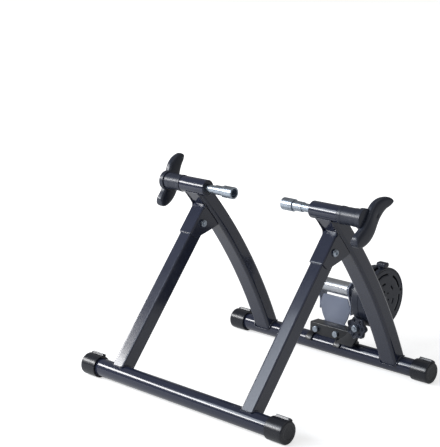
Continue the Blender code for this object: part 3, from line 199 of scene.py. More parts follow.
floor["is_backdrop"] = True
print("floor:", 2 * FLOOR_RADIUS, "m across")

# %% [markdown]
# ## Lamps
# The lamps are four large soft boxes. A long low one at the front left draws the thin bright line along
# every tube. A wide, slightly blue one above it lights the fronts of the legs. A weak one overhead opens
# the shadows, and a weak one at the right keeps the sides of the legs from going black.

# %% Lamps
AIM = (0.0, 0.0, 0.2)  # metres: the middle of the stand


def soft_box(name, direction, distance, width, height, power, colour=(1, 1, 1)):
    """A rectangular lamp at a distance along a direction from the middle of the stand, facing it."""
    lamp = bpy.data.lights.new(name, "AREA")
    lamp.shape, lamp.size, lamp.size_y, lamp.energy, lamp.color = "RECTANGLE", width, height, power, colour
    box = bpy.data.objects.new(name, lamp)
    way = np.array(direction) / np.linalg.norm(direction)
    bpy.context.scene.collection.objects.link(box)
    box.location = np.array(AIM) + way * distance
    box.rotation_euler = (box.location - Vector(AIM)).to_track_quat("Z", "Y").to_euler()


soft_box("front_strip", (-0.669, -0.634, 0.388), 3.0, 2.4, 0.50, 68)
soft_box("front_wide", (-0.32, -0.80, 0.57), 3.0, 2.2, 1.1, 42, (0.84, 0.91, 1.0))
soft_box("overhead", (0.25, 0.10, 1.0), 2.8, 2.4, 2.4, 9)
soft_box("right_fill", (0.95, -0.35, 0.45), 3.2, 1.8, 1.8, 6)

# %% [markdown]
# ## One build-up for every finish
# Coats, plastics and metals differ in their numbers, not in how they are built. Two near colours drift
# into each other with a slow noise, so that no face is perfectly even, and the roughness moves with it.
# A finer noise gives the bump: orange peel, mould grain or tool marks.

# %% Finish
def finish_of(name, dark, light, roughness, drift, grain, skin, stretch=(1, 1, 1)):
    """roughness is (least, most), drift the slow noise's (size in m, detail), grain the bump's (size in m,
    detail, strength, depth in m), skin the shader's own settings. stretch packs both noises along x, y, z."""
    material, tree = new_tree(name)
    place = add_node(tree, "TexCoord")
    laid = add_node(tree, "Mapping", {"Scale": stretch}, {"Vector": (place, "Object")})
    slow = add_node(tree, "TexNoise", {"Scale": 1 / drift[0], "Detail": drift[1]}, {"Vector": (laid, 0)})
    fine = add_node(tree, "TexNoise", {"Scale": 1 / grain[0], "Detail": grain[1]}, {"Vector": (laid, 0)})
    tints = {"A": linear(dark), "B": linear(light)}
    colour = add_node(tree, "Mix", tints, {"Factor": (slow, "Fac")}, data_type="RGBA")
    bump = add_node(tree, "Bump", {"Strength": grain[2], "Distance": grain[3]}, {"Height": (fine, "Fac")})
    gloss = add_node(tree, "MapRange", {"To Min": roughness[0], "To Max": roughness[1]}, {"Value": (slow, "Fac")})
    ways = {"Base Color": (colour, "Result"), "Roughness": (gloss, 0), "Normal": (bump, 0)}
    shader = add_node(tree, "BsdfPrincipled", skin, ways)
    add_node(tree, "OutputMaterial", links={"Surface": (shader, 0)})
    return material


print("a mid grey, in linear light:", round(float(linear("#808080")[0]), 3))

# %% [markdown]
# ## Powder-coated steel
# The tubes are mild steel, sprayed with dry polyester powder and baked. That gives a thick, even,
# dark blue-grey skin with a clear gloss, and a very shallow waviness called orange peel. The real
# waves are about 2 mm wide. They are drawn at 3 mm, the smallest that shows at this distance. The cast
# block of the roller unit has a duller black coat, and its sheet bracket a satin grey one.

# %% Powder coats
COATED, CAST, SHEET_GREY = "dark_painted_steel", "black_painted_steel", "grey_painted_steel"
POWDER = {
    "drift": (0.060, 3.0), "grain": (0.003, 1.0, 0.02, 0.0004),
    "skin": {"Metallic": 0.0, "IOR": 1.5, "Coat Weight": 0.30, "Coat Roughness": 0.06},
}
FINISH = {
    COATED: finish_of("charcoal_powder_coated_steel", "#1d2234", "#262b3d", (0.14, 0.21), **POWDER),
    CAST: finish_of("black_powder_coated_casting", "#101217", "#15171e", (0.35, 0.42), **POWDER),
    SHEET_GREY: finish_of("silver_grey_painted_sheet", "#787f92", "#838a9c", (0.33, 0.40), **POWDER),
}
print("powder coats:", [m.name for m in FINISH.values()])

# %% [markdown]
# ## Moulded plastics
# The handles, collars, the knob and the drum are glass-filled nylon from a spark-eroded mould, which
# leaves a fine even grain, so they look drier than the paint. The foot caps are soft PVC from a smoother
# mould and shine nearly as the tubes do. The real grain is about 0.3 mm. It is drawn at 1.2 mm and
# 1.6 mm, which still reads as a fine texture.

# %% Plastics
NYLON, CAP_PVC = "black_plastic", "black_cap_plastic"
PLASTIC = {"drift": (0.025, 4.0), "skin": {"Metallic": 0.0, "IOR": 1.5}}
nylon_grain, pvc_grain = (0.0012, 2.0, 0.14, 0.0001), (0.0016, 2.0, 0.14, 0.0001)
FINISH[NYLON] = finish_of(
    "spark_eroded_black_nylon", "#1f2430", "#262b39", (0.28, 0.39), grain=nylon_grain, **PLASTIC)
FINISH[CAP_PVC] = finish_of("soft_black_pvc", "#14161d", "#1c1f27", (0.22, 0.33), grain=pvc_grain, **PLASTIC)
print("plastics:", FINISH[NYLON].name, FINISH[CAP_PVC].name)

# %% [markdown]
# ## Bare and plated metal
# Bolts, cups and rods are zinc plated: pale, slightly blue and a bit cloudy. The roller is turned on a
# lathe and polished, which leaves fine rings round its axis. Those rings follow from a noise that is
# stretched: it changes quickly along X and hardly at all round the roller. Here the drift and the bump
# are one pattern, because a tool mark is both duller and deeper than what lies beside it.

# %% Metals
ZINC, POLISHED, BARE = "zinc_plated_steel", "polished_steel", "bare_steel"
METAL = {"drift": (1.0, 4.0), "grain": (1.0, 4.0, 0.02, 0.0001), "skin": {"Metallic": 1.0}}
metals = [
    (ZINC, "blue_zinc_plated_steel", "#98a2ae", "#b9c2cc", (0.24, 0.36), (120, 120, 120)),
    (POLISHED, "lathe_polished_steel", "#b4b8bf", "#d2d5da", (0.26, 0.38), (300, 20, 20)),
    (BARE, "ground_bare_steel", "#8d8f93", "#b0b2b5", (0.30, 0.42), (600, 40, 40)),
]
for slot, name, dark, light, roughness, stretch in metals:
    FINISH[slot] = finish_of(name, dark, light, roughness, stretch=stretch, **METAL)
print("metals:", [FINISH[k].name for k in (ZINC, POLISHED, BARE)])

# %% [markdown]
# ## From numbers to a mesh
# A surface here is a grid of points, each row a ring or a line. Neighbours on the grid become quads.
# Where a ring shrinks to one point, its copies are merged, so poles and seams are closed. One function
# turns such grids into a finished piece: it scales to metres, makes the faces look outward, marks sharp
# edges, gives the finish and lets the piece ride on its body.

# %% Grids
def grid(points, rows_close=False, columns_close=True, keep=None):
    """(points, quads) of a grid of shape (rows, columns, 3). keep says which quads stay."""
    rows, columns = points.shape[:2]
    i, j = np.meshgrid(np.arange(rows - (not rows_close)), np.arange(columns - (not columns_close)), indexing="ij")
    below, beside = (i + 1) % rows, (j + 1) % columns
    quads = np.stack([i * columns + j, below * columns + j, below * columns + beside, i * columns + beside], -1)
    return points.reshape(-1, 3), quads.reshape(-1, 4) if keep is None else quads[keep]


def finish_mesh(name, shells, inside):
    """One mesh from several shells. Its faces look outward: away from the point inside, where that is given."""
    starts = np.cumsum([0] + [len(points) for points, _ in shells])
    faces = [[int(start + k) for k in face] for start, (_, shell) in zip(starts, shells) for face in shell]
    mesh = bpy.data.meshes.new(name)
    mesh.from_pydata(np.concatenate([points for points, _ in shells]) * MM, [], faces)
    work = bmesh.new()
    work.from_mesh(mesh)
    bmesh.ops.delete(work, geom=[v for v in work.verts if not v.link_faces], context="VERTS")
    bmesh.ops.remove_doubles(work, verts=work.verts, dist=2e-6)
    bmesh.ops.recalc_face_normals(work, faces=work.faces)
    if inside is not None:
        spot = Vector(np.array(inside) * MM)
        if sum(f.normal.dot(f.calc_center_median() - spot) * f.calc_area() for f in work.faces) < 0:
            bmesh.ops.reverse_faces(work, faces=work.faces)
    work.to_mesh(mesh)
    work.free()
    return mesh


print("a closed grid of 4 by 6 points has", len(grid(np.zeros((4, 6, 3)), rows_close=True)[1]), "quads")

# %% Pieces
def make_piece(name, shells, slot, body, node=None, inside=None, wall=0.0, edge=0.0, sharp=38.0, even=True):
    """A piece that stands for a CAD node. wall thickens an open surface inward, edge rounds its sharp rims."""
    mesh = finish_mesh(name, shells, inside)
    mesh.materials.append(FINISH[slot])
    piece = bpy.data.objects.new(name, mesh)
    bpy.context.scene.collection.objects.link(piece)
    if wall:
        solid = piece.modifiers.new("Wall", "SOLIDIFY")
        solid.thickness, solid.offset, solid.use_even_offset = wall * MM, -1.0, even
    if edge:
        bevel = piece.modifiers.new("Edge", "BEVEL")
        bevel.width, bevel.segments = edge * MM, 2
        bevel.limit_method, bevel.angle_limit = "ANGLE", math.radians(50)
    mesh.shade_smooth()
    mesh.set_sharp_from_angle(angle=math.radians(sharp))
    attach(piece, body)
    if node:
        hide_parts(node)
    print(f"{name}: {len(mesh.polygons)} faces")


# %% [markdown]
# ## Lines and turned shapes
# Many pieces are turned: a profile carried round an axis. The profile is a short list of corners, and
# each corner is rounded by a small curve that starts and ends on the two straight lines. Where the
# shape isn't round, as on a hexagon or a lug, the radius becomes a function of the angle.

# %% Profiles
def round_corners(points, radius, steps=6, close=False):
    """Corners become parabolas: corner + a (1 - t)^2 + b t^2, where a and b lie on the two straight lines."""
    points = np.asarray(points, float)
    if close:
        points = np.concatenate([points[-1:], points, points[:1]])
    corner = points[1:-1]
    before, after = points[:-2] - corner, points[2:] - corner
    length_a, length_b = np.linalg.norm(before, axis=1), np.linalg.norm(after, axis=1)
    a, b = before / length_a[:, None], after / length_b[:, None]
    half = np.arccos(np.clip((a * b).sum(1), -1, 1)) / 2
    reach = np.minimum(np.broadcast_to(radius, half.shape) / np.tan(half), 0.48 * np.minimum(length_a, length_b))
    t = np.linspace(0, 1, steps)[None, :, None]
    bent = corner[:, None] + reach[:, None, None] * (a[:, None] * (1 - t) ** 2 + b[:, None] * t**2)
    bent = bent.reshape(-1, points.shape[1])
    return bent if close else np.concatenate([points[:1], bent, points[-1:]])


def on(axis, x=0.0):
    """The point of a side-to-side axis at x."""
    return np.array([x, axis[0], axis[1]])


def window(value, low, high, soft):
    """1 between low and high and 0 outside, with smooth sides that are soft wide: 3 t^2 - 2 t^3 at each side."""
    rise = np.clip((value - low) / soft + 0.5, 0, 1)
    fall = np.clip((high - value) / soft + 0.5, 0, 1)
    return rise**2 * (3 - 2 * rise) * fall**2 * (3 - 2 * fall)


square = [(0, 0), (9, 0), (9, 9), (0, 9)]
print("a square with rounded corners has", len(round_corners(square, 1, close=True)), "points")

# %% Turned shapes
def turn(profile, centre, axis="x", side=1, steps=128, angles=None, radius=None):
    """Carries (along, radius) corners round an axis through centre: x + r cos(angle) + r sin(angle).
    radius(r, along, angle) may change the radius as the angle goes round. Returns a grid of points."""
    angle = np.linspace(0, 2 * np.pi, steps, endpoint=False) if angles is None else angles
    along, r = profile[:, 0:1] + 0 * angle, profile[:, 1:2] + 0 * angle
    if radius is not None:
        r = radius(r, along, angle[None, :] + 0 * r)
    across, up = r * np.cos(angle), r * np.sin(angle)
    if axis == "x":
        return np.stack([side * along + centre[0], across + centre[1], up + centre[2]], -1)
    return np.stack([across + centre[0], side * along + centre[1], up + centre[2]], -1)


def turned_piece(name, corners, radii, centre, slot, body, node=None, side=1, steps=128, corner_steps=8, sharp=38.0):
    """A piece turned from corners (along, radius). Corners that start off the axis are a closed ring with a bore."""
    bored = corners[0][1] > 0
    profile = round_corners(corners, radii, corner_steps, close=bored)
    shell = grid(turn(profile, centre, side=side, steps=steps), rows_close=bored)
    make_piece(name, [shell], slot, body, node, sharp=sharp)


print("a line of 2 points, turned, is a grid of shape", turn(np.array([(0, 5.0), (1, 5.0)]), on(ROLLER)).shape)

# %% [markdown]
# ## Foot tubes
# Two round tubes, 37 mm across with a 1.5 mm wall, are what the stand rests on at the front and back.
# The profile is a closed ring, outside and bore, so the tube is truly hollow under its caps.

# %% Foot tubes
TUBE_RADIUS, TUBE_BORE, TUBE_END = 18.5, 17.0, 268.0
tube = [(-TUBE_END, TUBE_RADIUS), (TUBE_END, TUBE_RADIUS), (TUBE_END, TUBE_BORE), (-TUBE_END, TUBE_BORE)]
turned_piece("front_tube", tube, 0.4, on(FRONT), COATED, "front_frame", "front_foot_tube", corner_steps=4)
turned_piece("rear_tube", tube, 0.4, on(REAR), COATED, "stand", "rear_foot_tube", corner_steps=4)

# %% [markdown]
# ## Foot caps
# A moulded cup pushed over each tube end, with a flat lug on its side. Turned down, the lug lifts that
# corner and levels the stand. The lug is part of the same surface: where the angle and the distance
# are inside its window, the radius grows from the cup's to that of a flat 26.8 mm from the axis.

# %% Foot caps
CAP_RADIUS, CAP_MOUTH, CAP_END = 22.5, 232.0, 272.5
LUG_FLAT, LUG_AT, LUG_HALF_SPAN = 26.8, math.radians(63), 10.6  # mm, its middle's angle, degrees each way


def lug(r, along, angle):
    """r + (flat - r) * window, where the flat is 26.8 / cos(turn from the lug's middle)."""
    away = (angle - LUG_AT + np.pi) % (2 * np.pi) - np.pi
    inside = window(np.degrees(away), -LUG_HALF_SPAN, LUG_HALF_SPAN, 3.0) * window(along, 235.6, 269.3, 2.2)
    flat = LUG_FLAT / np.cos(np.clip(away, -0.3, 0.3))
    return r + (flat - r) * inside * (r > 19.5)


around_lug = LUG_AT + np.radians(np.concatenate([np.linspace(-15, 15, 41), np.linspace(18, 342, 109)]))
cap_face = [(CAP_END - 0.5, 0), (CAP_END - 0.5, 12.5), (CAP_END, 14.0), (CAP_END, CAP_RADIUS)]
skirt = [(CAP_MOUTH, CAP_RADIUS), (CAP_MOUTH, TUBE_RADIUS + GAP)]
outer = round_corners(cap_face + skirt, [0.5, 0.5, 7.5, 0.9], 12)
wall = np.stack([np.linspace(264.5, 234.0, 44), np.full(44, CAP_RADIUS)], -1)
socket = [(TUBE_END + GAP, TUBE_RADIUS + GAP), (TUBE_END + GAP, 0)]
profile = np.concatenate([outer[:-14], wall, outer[-12:], socket])
for end, axis in (("front", FRONT), ("rear", REAR)):
    for name, side in SIDES.items():
        cup = grid(turn(profile, on(axis), side=side, angles=around_lug, radius=lug))
        make_piece(f"{end}_cap_{name}", [cup], CAP_PVC, f"{end}_cap_{name}", f"{end}_foot_cap_{name}", sharp=50)

# %% [markdown]
# ## Legs that are coped and welded
# A tube that meets a round tube is coped: each line along its wall stops where it touches the other
# tube. For a straight leg whose middle line runs through the foot tube's axis, a wall line at a distance
# n from that middle line stops at sqrt(R^2 - n^2) from the axis. The section is a rounded rectangle,
# and the leg is that section carried along, with each point's own start and end. Each end is closed by
# drawing the last ring in to the leg's middle plane: x shrinks to 0 while n and the height stay.

# %% Sections
COPE_RADIUS = TUBE_RADIUS + GAP
SHRINK = np.array([0.9, 0.6, 0.0])[:, None]


def rounded_rectangle(half_a, half_b, radius, steps=10):
    """Closed outline: four quarter circles, one in each corner, joined by straight sides."""
    turns = np.linspace(0, np.pi / 2, steps)[None, :] + np.arange(4)[:, None] * np.pi / 2
    signs = np.array([(1, 1), (-1, 1), (-1, -1), (1, -1)])
    a = signs[:, :1] * (half_a - radius) + radius * np.cos(turns)
    b = signs[:, 1:] * (half_b - radius) + radius * np.sin(turns)
    return np.stack([a.ravel(), b.ravel()], -1)


def fill_sides(outline, step):
    """The same closed outline with extra points, so that no side is longer than step."""
    ends = np.roll(outline, -1, axis=0)
    length = np.linalg.norm(ends - outline, axis=1)
    where = np.concatenate([[0], np.cumsum(length)])
    extra = np.arange(0, where[-1], step)
    spots = np.unique(np.concatenate([where[:-1], extra[np.abs(extra[:, None] - where).min(1) > step / 3]]))
    closed = np.concatenate([outline, outline[:1]])
    return np.stack([np.interp(spots, where, closed[:, k]) for k in (0, 1)], -1)


def carry(point, section, start, stop, rows):
    """A section of (x, n) carried by point(x, n, s): rows rings from start to stop, then both ends closed."""
    x, n = section.T
    share = np.linspace(0, 1, rows)[:, None]
    walls = point(x + 0 * share, n + 0 * share, start + (stop - start) * share)
    first, last = (point(x * SHRINK, n + 0 * SHRINK, end + 0 * SHRINK) for end in (start, stop))
    return np.concatenate([first[::-1], walls, last])


print("a rounded section of 30 by 20 mm has", len(fill_sides(rounded_rectangle(15, 10, 3), 2.0)), "points")

# %% Weld beads
def denser(path, step=0.7):
    """A closed path with points every step along it, and the outward unit normal of each."""
    closed = np.concatenate([path, path[:1]])
    run = np.concatenate([[0], np.cumsum(np.linalg.norm(np.diff(closed, axis=0), axis=1))])
    spots = np.linspace(0, run[-1], int(run[-1] / step), endpoint=False)
    rim = np.stack([np.interp(spots, run, closed[:, k]) for k in range(closed.shape[1])], -1)
    tangent = np.roll(rim, -1, axis=0) - np.roll(rim, 1, axis=0)
    return rim, np.stack([tangent[:, 1], -tangent[:, 0]], -1) / np.linalg.norm(tangent, axis=1)[:, None]


def weld_bead(path, outward, axis, radius=1.7, pitch=3.2):
    """A rippled tube round a closed path: centre + r (cos q outward + sin q up). r swells once every pitch,
    and up points away from the axis of the round tube."""
    up = path - on(axis)
    up[:, 0] = 0
    up /= np.linalg.norm(up, axis=1)[:, None]
    run = np.cumsum(np.linalg.norm(path - np.roll(path, 1, axis=0), axis=1))
    ripples = max(1, round(run[-1] / pitch))
    r = radius * (1 + 0.13 * np.abs(np.sin(np.pi * ripples * run / run[-1])))
    q = np.linspace(0, 2 * np.pi, 12, endpoint=False)
    rings = outward[:, None] * np.cos(q)[None, :, None] + up[:, None] * np.sin(q)[None, :, None]
    return path[:, None] + 0.25 * radius * (outward + up)[:, None] + r[:, None, None] * rings


def leg_and_weld(end, body, leg, bead, x):
    """The left and the right leg of one end, each with the weld at its foot."""
    for name, side in SIDES.items():
        shift = (side * x, 0, 0)
        make_piece(f"{end}_leg_tube_{name}", [grid(leg + shift)], COATED, body, f"{end}_leg_{name}")
        make_piece(f"{end}_weld_{name}", [grid(bead + shift, rows_close=True)], COATED, body, sharp=180)


print("the line of a weld round it has", len(denser(rounded_rectangle(15, 10, 3))[0]), "points")

# %% [markdown]
# ## Front legs
# Two straight rectangular tubes, 29 by 33 mm, from the front foot tube up to the pivot bolts. The upper
# end is round in the side view, so that the leg can turn inside its bracket.

# %% Front legs
LEG_X, LEG_HALF_WIDTH, LEG_HALF_DEPTH, LEG_EDGE = 176.0, 14.5, 16.5, 3.0
LEG_LENGTH = np.linalg.norm(PIVOT - FRONT)
LEG_UP = (PIVOT - FRONT) / LEG_LENGTH
LEG_OUT = np.array([-LEG_UP[1], LEG_UP[0]])


def leg_point(x, n, s):
    """A point of the front leg: x across, n in front of its middle line, s up along it."""
    side_view = FRONT + n[..., None] * LEG_OUT + s[..., None] * LEG_UP
    return np.stack([x + 0 * n, side_view[..., 0], side_view[..., 1]], -1)


section = fill_sides(rounded_rectangle(LEG_HALF_WIDTH, LEG_HALF_DEPTH, LEG_EDGE, 8), 2.0)
n = section[:, 1]
foot, head = np.sqrt(COPE_RADIUS**2 - n**2), LEG_LENGTH + np.sqrt(np.maximum(LEG_HALF_DEPTH**2 - n**2, 0))
leg = carry(leg_point, section, foot, head, 40)
rim, normal = denser(section)
path = leg_point(rim[:, 0], rim[:, 1], np.sqrt(COPE_RADIUS**2 - rim[:, 1] ** 2))
outward = np.stack([normal[:, 0], *(normal[:, 1:] * LEG_OUT).T], -1)
leg_and_weld("front", "front_frame", leg, weld_bead(path, outward, FRONT), LEG_X)

# %% [markdown]
# ## Rear legs
# The rear legs are bent from a tube with well rounded corners, 45 by 34 mm, on a radius of 1190 mm. A
# wall line at n from the middle is an arc of radius 1190 + n. It stops where its distance from the other
# tube's axis is that tube's radius, which the law of cosines gives: cos d = (D^2 + r^2 - R^2) / (2 D r).

# %% Rear legs
BOW, REAR_X, BOW_HALF_WIDTH, BOW_HALF_DEPTH, BOW_EDGE = 1190.0, 175.0, 22.5, 17.0, 7.5
CLAMP_RADIUS = 17.0
top = CLAMP + np.array([-2.7, 0.0])
chord = top - REAR
inward = np.array([-chord[1], chord[0]]) / np.linalg.norm(chord)
bow_centre = (REAR + top) / 2 + inward * math.sqrt(BOW**2 - (chord @ chord) / 4)


def meet(axis, n, other, sign):
    """The angle about the bow's centre at which the wall line n touches the round tube on that axis."""
    away = axis - bow_centre
    distance, r = np.linalg.norm(away), BOW + n
    cosine = (distance**2 + r**2 - other**2) / (2 * distance * r)
    return math.atan2(away[1], away[0]) + sign * np.arccos(np.clip(cosine, -1, 1))


def bow_point(x, n, angle):
    """A point of the rear leg: x across, n behind its middle line, at an angle about the bow's centre."""
    r = BOW + n
    return np.stack([x + 0 * n, bow_centre[0] + r * np.cos(angle), bow_centre[1] + r * np.sin(angle)], -1)


section = fill_sides(rounded_rectangle(BOW_HALF_WIDTH, BOW_HALF_DEPTH, BOW_EDGE, 14), 2.0)
n = section[:, 1]
leg = carry(bow_point, section, meet(REAR, n, COPE_RADIUS, 1), meet(CLAMP, n, CLAMP_RADIUS + GAP, -1), 90)
rim, normal = denser(section)
angle = meet(REAR, rim[:, 1], COPE_RADIUS, 1)
outward = np.stack([normal[:, 0], normal[:, 1] * np.cos(angle), normal[:, 1] * np.sin(angle)], -1)
bead = weld_bead(bow_point(rim[:, 0], rim[:, 1], angle), outward, REAR)
leg_and_weld("rear", "stand", leg, bead, REAR_X)

# %% [markdown]
# ## Pivot brackets
# Each bracket is one folded sheet: a web in front of the leg, two bends, and a cheek on each side that
# runs back to the rear leg. A cheek has four edge lines, and the patch between them is a Coons patch:
# the blend of bottom to top, plus the blend of front to back, minus the blend of the four corners.
# The web exists only along the lower part, so its quads are left out above it.

# %% Bracket helpers
def spaced(points, count):
    """count points at even distances along an open line."""
    points = np.asarray(points, float)
    run = np.concatenate([[0], np.cumsum(np.linalg.norm(np.diff(points, axis=0), axis=1))])
    return np.stack([np.interp(np.linspace(0, run[-1], count), run, points[:, k]) for k in range(points.shape[1])], -1)


def coons(bottom, top, front, back):
    """Points of the patch between four lines that share their corners, of shape (front, bottom, 2)."""
    s, t = np.linspace(0, 1, len(bottom))[None, :, None], np.linspace(0, 1, len(front))[:, None, None]
    corners = (1 - s) * (1 - t) * front[0] + s * (1 - t) * back[0] + (1 - s) * t * front[-1] + s * t * back[-1]
    return (1 - t) * bottom + t * top + (1 - s) * front[:, None] + s * back[:, None] - corners


print("8 points spaced along 70 mm lie", round(float(spaced([(0, 0), (70, 0)], 8)[1, 0]), 1), "mm apart")

# %% Edge lines of a cheek
SHEET, BEND = 2.2, 3.2  # the sheet's thickness, and the radius of its bends
WEB_REACH = 35.0  # how far the web goes up and down the leg from the bolt
WEB_ROWS, CHEEK_COLUMNS = 31, 37
web_face = LEG_HALF_DEPTH + GAP + SHEET - BEND
half_web = LEG_HALF_WIDTH + GAP + SHEET
web_foot, web_top = (PIVOT + reach * LEG_UP + web_face * LEG_OUT for reach in (-WEB_REACH, WEB_REACH))
neck, heel, sole, toe = (CLAMP + np.array(p) for p in ((-9.0, -14.8), (64.0, -79.0), (21.0, -98.0), (-16.6, -107.6)))
wall_radius = BOW - BOW_HALF_DEPTH - 0.35  # the front face of the rear leg, less a hair
wall_top = math.asin((neck[1] + 1.5 - bow_centre[1]) / wall_radius)
wall_angle = np.linspace(wall_top, math.atan2(heel[1] - bow_centre[1], heel[0] - bow_centre[0]), 41)
wall = bow_centre + wall_radius * np.stack([np.cos(wall_angle), np.sin(wall_angle)], -1)
below = round_corners([web_foot, toe, sole, wall[-1]], [4.0, 9.0], 8)
front_line = np.concatenate([spaced([web_foot, web_top], WEB_ROWS), spaced([web_top, neck], 13)[1:]])
print("cheek, from its toe to its neck in mm:", round(float(neck[1] - toe[1]), 1))

# %% Pivot brackets
bottom_line, top_line = spaced(below, CHEEK_COLUMNS), spaced([neck, wall[0]], CHEEK_COLUMNS)
cheek = coons(bottom_line, top_line, front_line, spaced(wall[::-1], len(front_line)))
bend = np.linspace(0, np.pi / 2, 7)[1:, None]
curl = front_line[:, None] + (BEND * np.sin(bend) * LEG_OUT)[None]
curl_x = half_web - BEND + BEND * np.cos(bend[:, 0])
flat_x = np.linspace(half_web - BEND, -(half_web - BEND), 9)[1:-1]
cheek_x = np.full(CHEEK_COLUMNS, half_web)
x = np.concatenate([cheek_x, curl_x, flat_x, -curl_x[::-1], -cheek_x])
web = np.repeat(curl[:, -1:], len(flat_x), axis=1)
side_view = np.concatenate([cheek[:, ::-1], curl, web, curl[:, ::-1], cheek], axis=1)
fold = np.concatenate([np.broadcast_to(x[None, :, None], (*side_view.shape[:2], 1)), side_view], -1)
stays = np.ones((len(front_line) - 1, len(x) - 1), bool)
stays[WEB_ROWS - 1:, CHEEK_COLUMNS - 1:len(x) - CHEEK_COLUMNS] = False
for name, side in SIDES.items():
    shell = grid(fold + (side * LEG_X, 0, 0), columns_close=False, keep=stays)
    make_piece(
        f"bracket_{name}", [shell], COATED, "stand", f"pivot_bracket_{name}",
        inside=on(PIVOT, side * LEG_X), wall=SHEET, edge=0.5, even=False,
    )

# %% [markdown]
# ## Hexagons, sockets and threads
# A hexagon's edge lies at half its width over the cosine of the angle to the nearest flat. A nut's
# corners are cut by a cone, so its radius is the smaller of the hexagon and the cone. A thread is a
# ridge whose height follows the distance along the axis minus the angle, times the pitch.

# %% Fastener helpers
FAR = 99.0  # marks the rows whose radius is the hexagon's


def hexagon(angle, flats):
    """Distance from the axis to the side of a hexagon that is flats wide."""
    return flats / 2 / np.cos((angle + np.pi / 6) % (np.pi / 3) - np.pi / 6)


def hex_body(flats, low, high, bore):
    """A nut or bolt head as a ring: outside hexagonal with cone-cut corners, and a round bore."""
    along = np.array([low, low, low + 0.35, low + 1.3, high - 1.3, high - 0.35, high, high])
    outer = np.array([bore, flats * 0.475, FAR, FAR, FAR, FAR, flats * 0.475, bore])
    depth = np.minimum(along - low, high - along)[:, None]

    def radius(r, _, angle):
        return np.where(r == FAR, np.minimum(hexagon(angle, flats), flats * 0.475 + 1.9 * depth), r)

    return np.stack([along, outer], -1), radius


def hex_nut(name, node, body, flats, low, high, bore, centre, axis="x", side=1):
    """A zinc plated nut from low to high along an axis."""
    ring, radius = hex_body(flats, low, high, bore)
    nut = turn(ring, centre, axis, side, 96, radius=radius)
    make_piece(name, [grid(nut, rows_close=True)], ZINC, body, node)


def thread(radius, pitch=1.25, depth=0.45):
    """Radius of a screw thread: a triangle wave of (along - pitch * turns) / pitch."""
    return lambda r, along, angle: np.where(
        r > radius - 0.01, r - depth * np.abs(2 * ((along / pitch - angle / (2 * np.pi)) % 1) - 1), r
    )


print("a 13 mm hexagon is", round(2 * float(hexagon(np.pi / 6, 13.0)), 1), "mm over its corners")

# %% [markdown]
# ## Pivot bolts and nuts
# The bolt that the front leg turns on has a low round head with a hexagon socket. The socket is the
# inner part of the same surface: its rings are hexagons, and the rings outside it are circles.

# %% Pivot bolts and nuts
PIVOT_SHANK, PIVOT_NUT = 5.0, 5.6  # the bolt's radius and the nut's height
SOCKET_RADIUS, SOCKET_FLATS = 2.9, 5.2
bolt_face = LEG_X + half_web + GAP
nut_start = LEG_X - half_web - GAP - PIVOT_NUT
dome = [(2.0, 0), (2.0, 2.6), (4.6, SOCKET_RADIUS), (4.95, 3.6), (5.0, 4.2), (4.6, 5.6),
        (3.7, 6.9), (2.4, 7.6), (0.6, 7.8), (0, 7.5), (0, PIVOT_SHANK)]
shank = [(LEG_X - 10, PIVOT_SHANK), (nut_start, PIVOT_SHANK)]
stub = np.stack([np.linspace(nut_start, nut_start - 1.5, 13), np.full(13, PIVOT_SHANK)], -1)
profile = round_corners(np.concatenate([np.array(dome) + (bolt_face, 0), shank]), 0.4, 4)
profile = np.concatenate([profile, stub[1:], [(nut_start - 1.5, 0)]])


def hex_socket(r, along, angle):
    """Inside the socket, r grows by the hexagon's distance over the socket's radius."""
    return np.where((r < 3.0) & (along > bolt_face), r / SOCKET_RADIUS * hexagon(angle, SOCKET_FLATS), r)


for name, side in SIDES.items():
    bolt = turn(profile, on(PIVOT), side=side, steps=96, radius=hex_socket)
    make_piece(f"leg_bolt_{name}", [grid(bolt)], ZINC, "stand", f"pivot_bolt_{name}")
    hex_nut(
        f"leg_nut_{name}", f"pivot_nut_{name}", "stand", 14.2, nut_start, nut_start + PIVOT_NUT,
        PIVOT_SHANK + GAP, on(PIVOT), side=side,
    )

# %% [markdown]
# ## Axle clamps
# On each side a short tube holds a guide bush and a rod that ends in a cup, which takes the end of the
# axle. All of them are turned. The collar behind the tube has a smooth waist between two wider ends.

# %% Clamp tubes, bushes and collars
CLAMP_BORE, CLAMP_INNER, CLAMP_OUTER, BUSH_OUTER = 14.0, 140.5, 210.0, 160.5
COLLAR_INNER, COLLAR_OUTER, COLLAR_RADIUS, COLLAR_WAIST = CLAMP_OUTER + GAP, 254.7, 18.0, 17.4
SPINDLE_BORE = 6.3
sleeve = [(CLAMP_INNER, CLAMP_BORE), (CLAMP_INNER, CLAMP_RADIUS), (CLAMP_OUTER, CLAMP_RADIUS),
          (CLAMP_OUTER, CLAMP_BORE)]
bush = [(CLAMP_INNER, 8.8), (CLAMP_INNER, 13.7), (BUSH_OUTER, 13.7), (BUSH_OUTER, 8.8)]
collar = [(COLLAR_INNER, SPINDLE_BORE), (COLLAR_INNER, COLLAR_RADIUS), (216.0, COLLAR_RADIUS), (219.5, COLLAR_WAIST),
          (238.0, COLLAR_WAIST), (244.0, COLLAR_RADIUS), (COLLAR_OUTER, COLLAR_RADIUS), (COLLAR_OUTER, SPINDLE_BORE)]
for name, side in SIDES.items():
    turned_piece(
        f"clamp_sleeve_{name}", sleeve, [0.5, 2.0, 1.2, 0.4], on(CLAMP), COATED, "stand", f"clamp_tube_{name}", side)
    turned_piece(
        f"guide_bush_{name}", bush, [0.6, 0.3, 0.3, 0.3], on(CLAMP), NYLON, "stand", f"clamp_bush_{name}", side,
        corner_steps=5)
    turned_piece(
        f"collar_{name}", collar, [0.3, 0.9, 3.0, 3.0, 5.0, 5.0, 1.0, 0.3], on(CLAMP), NYLON, "stand",
        f"clamp_collar_{name}", side)

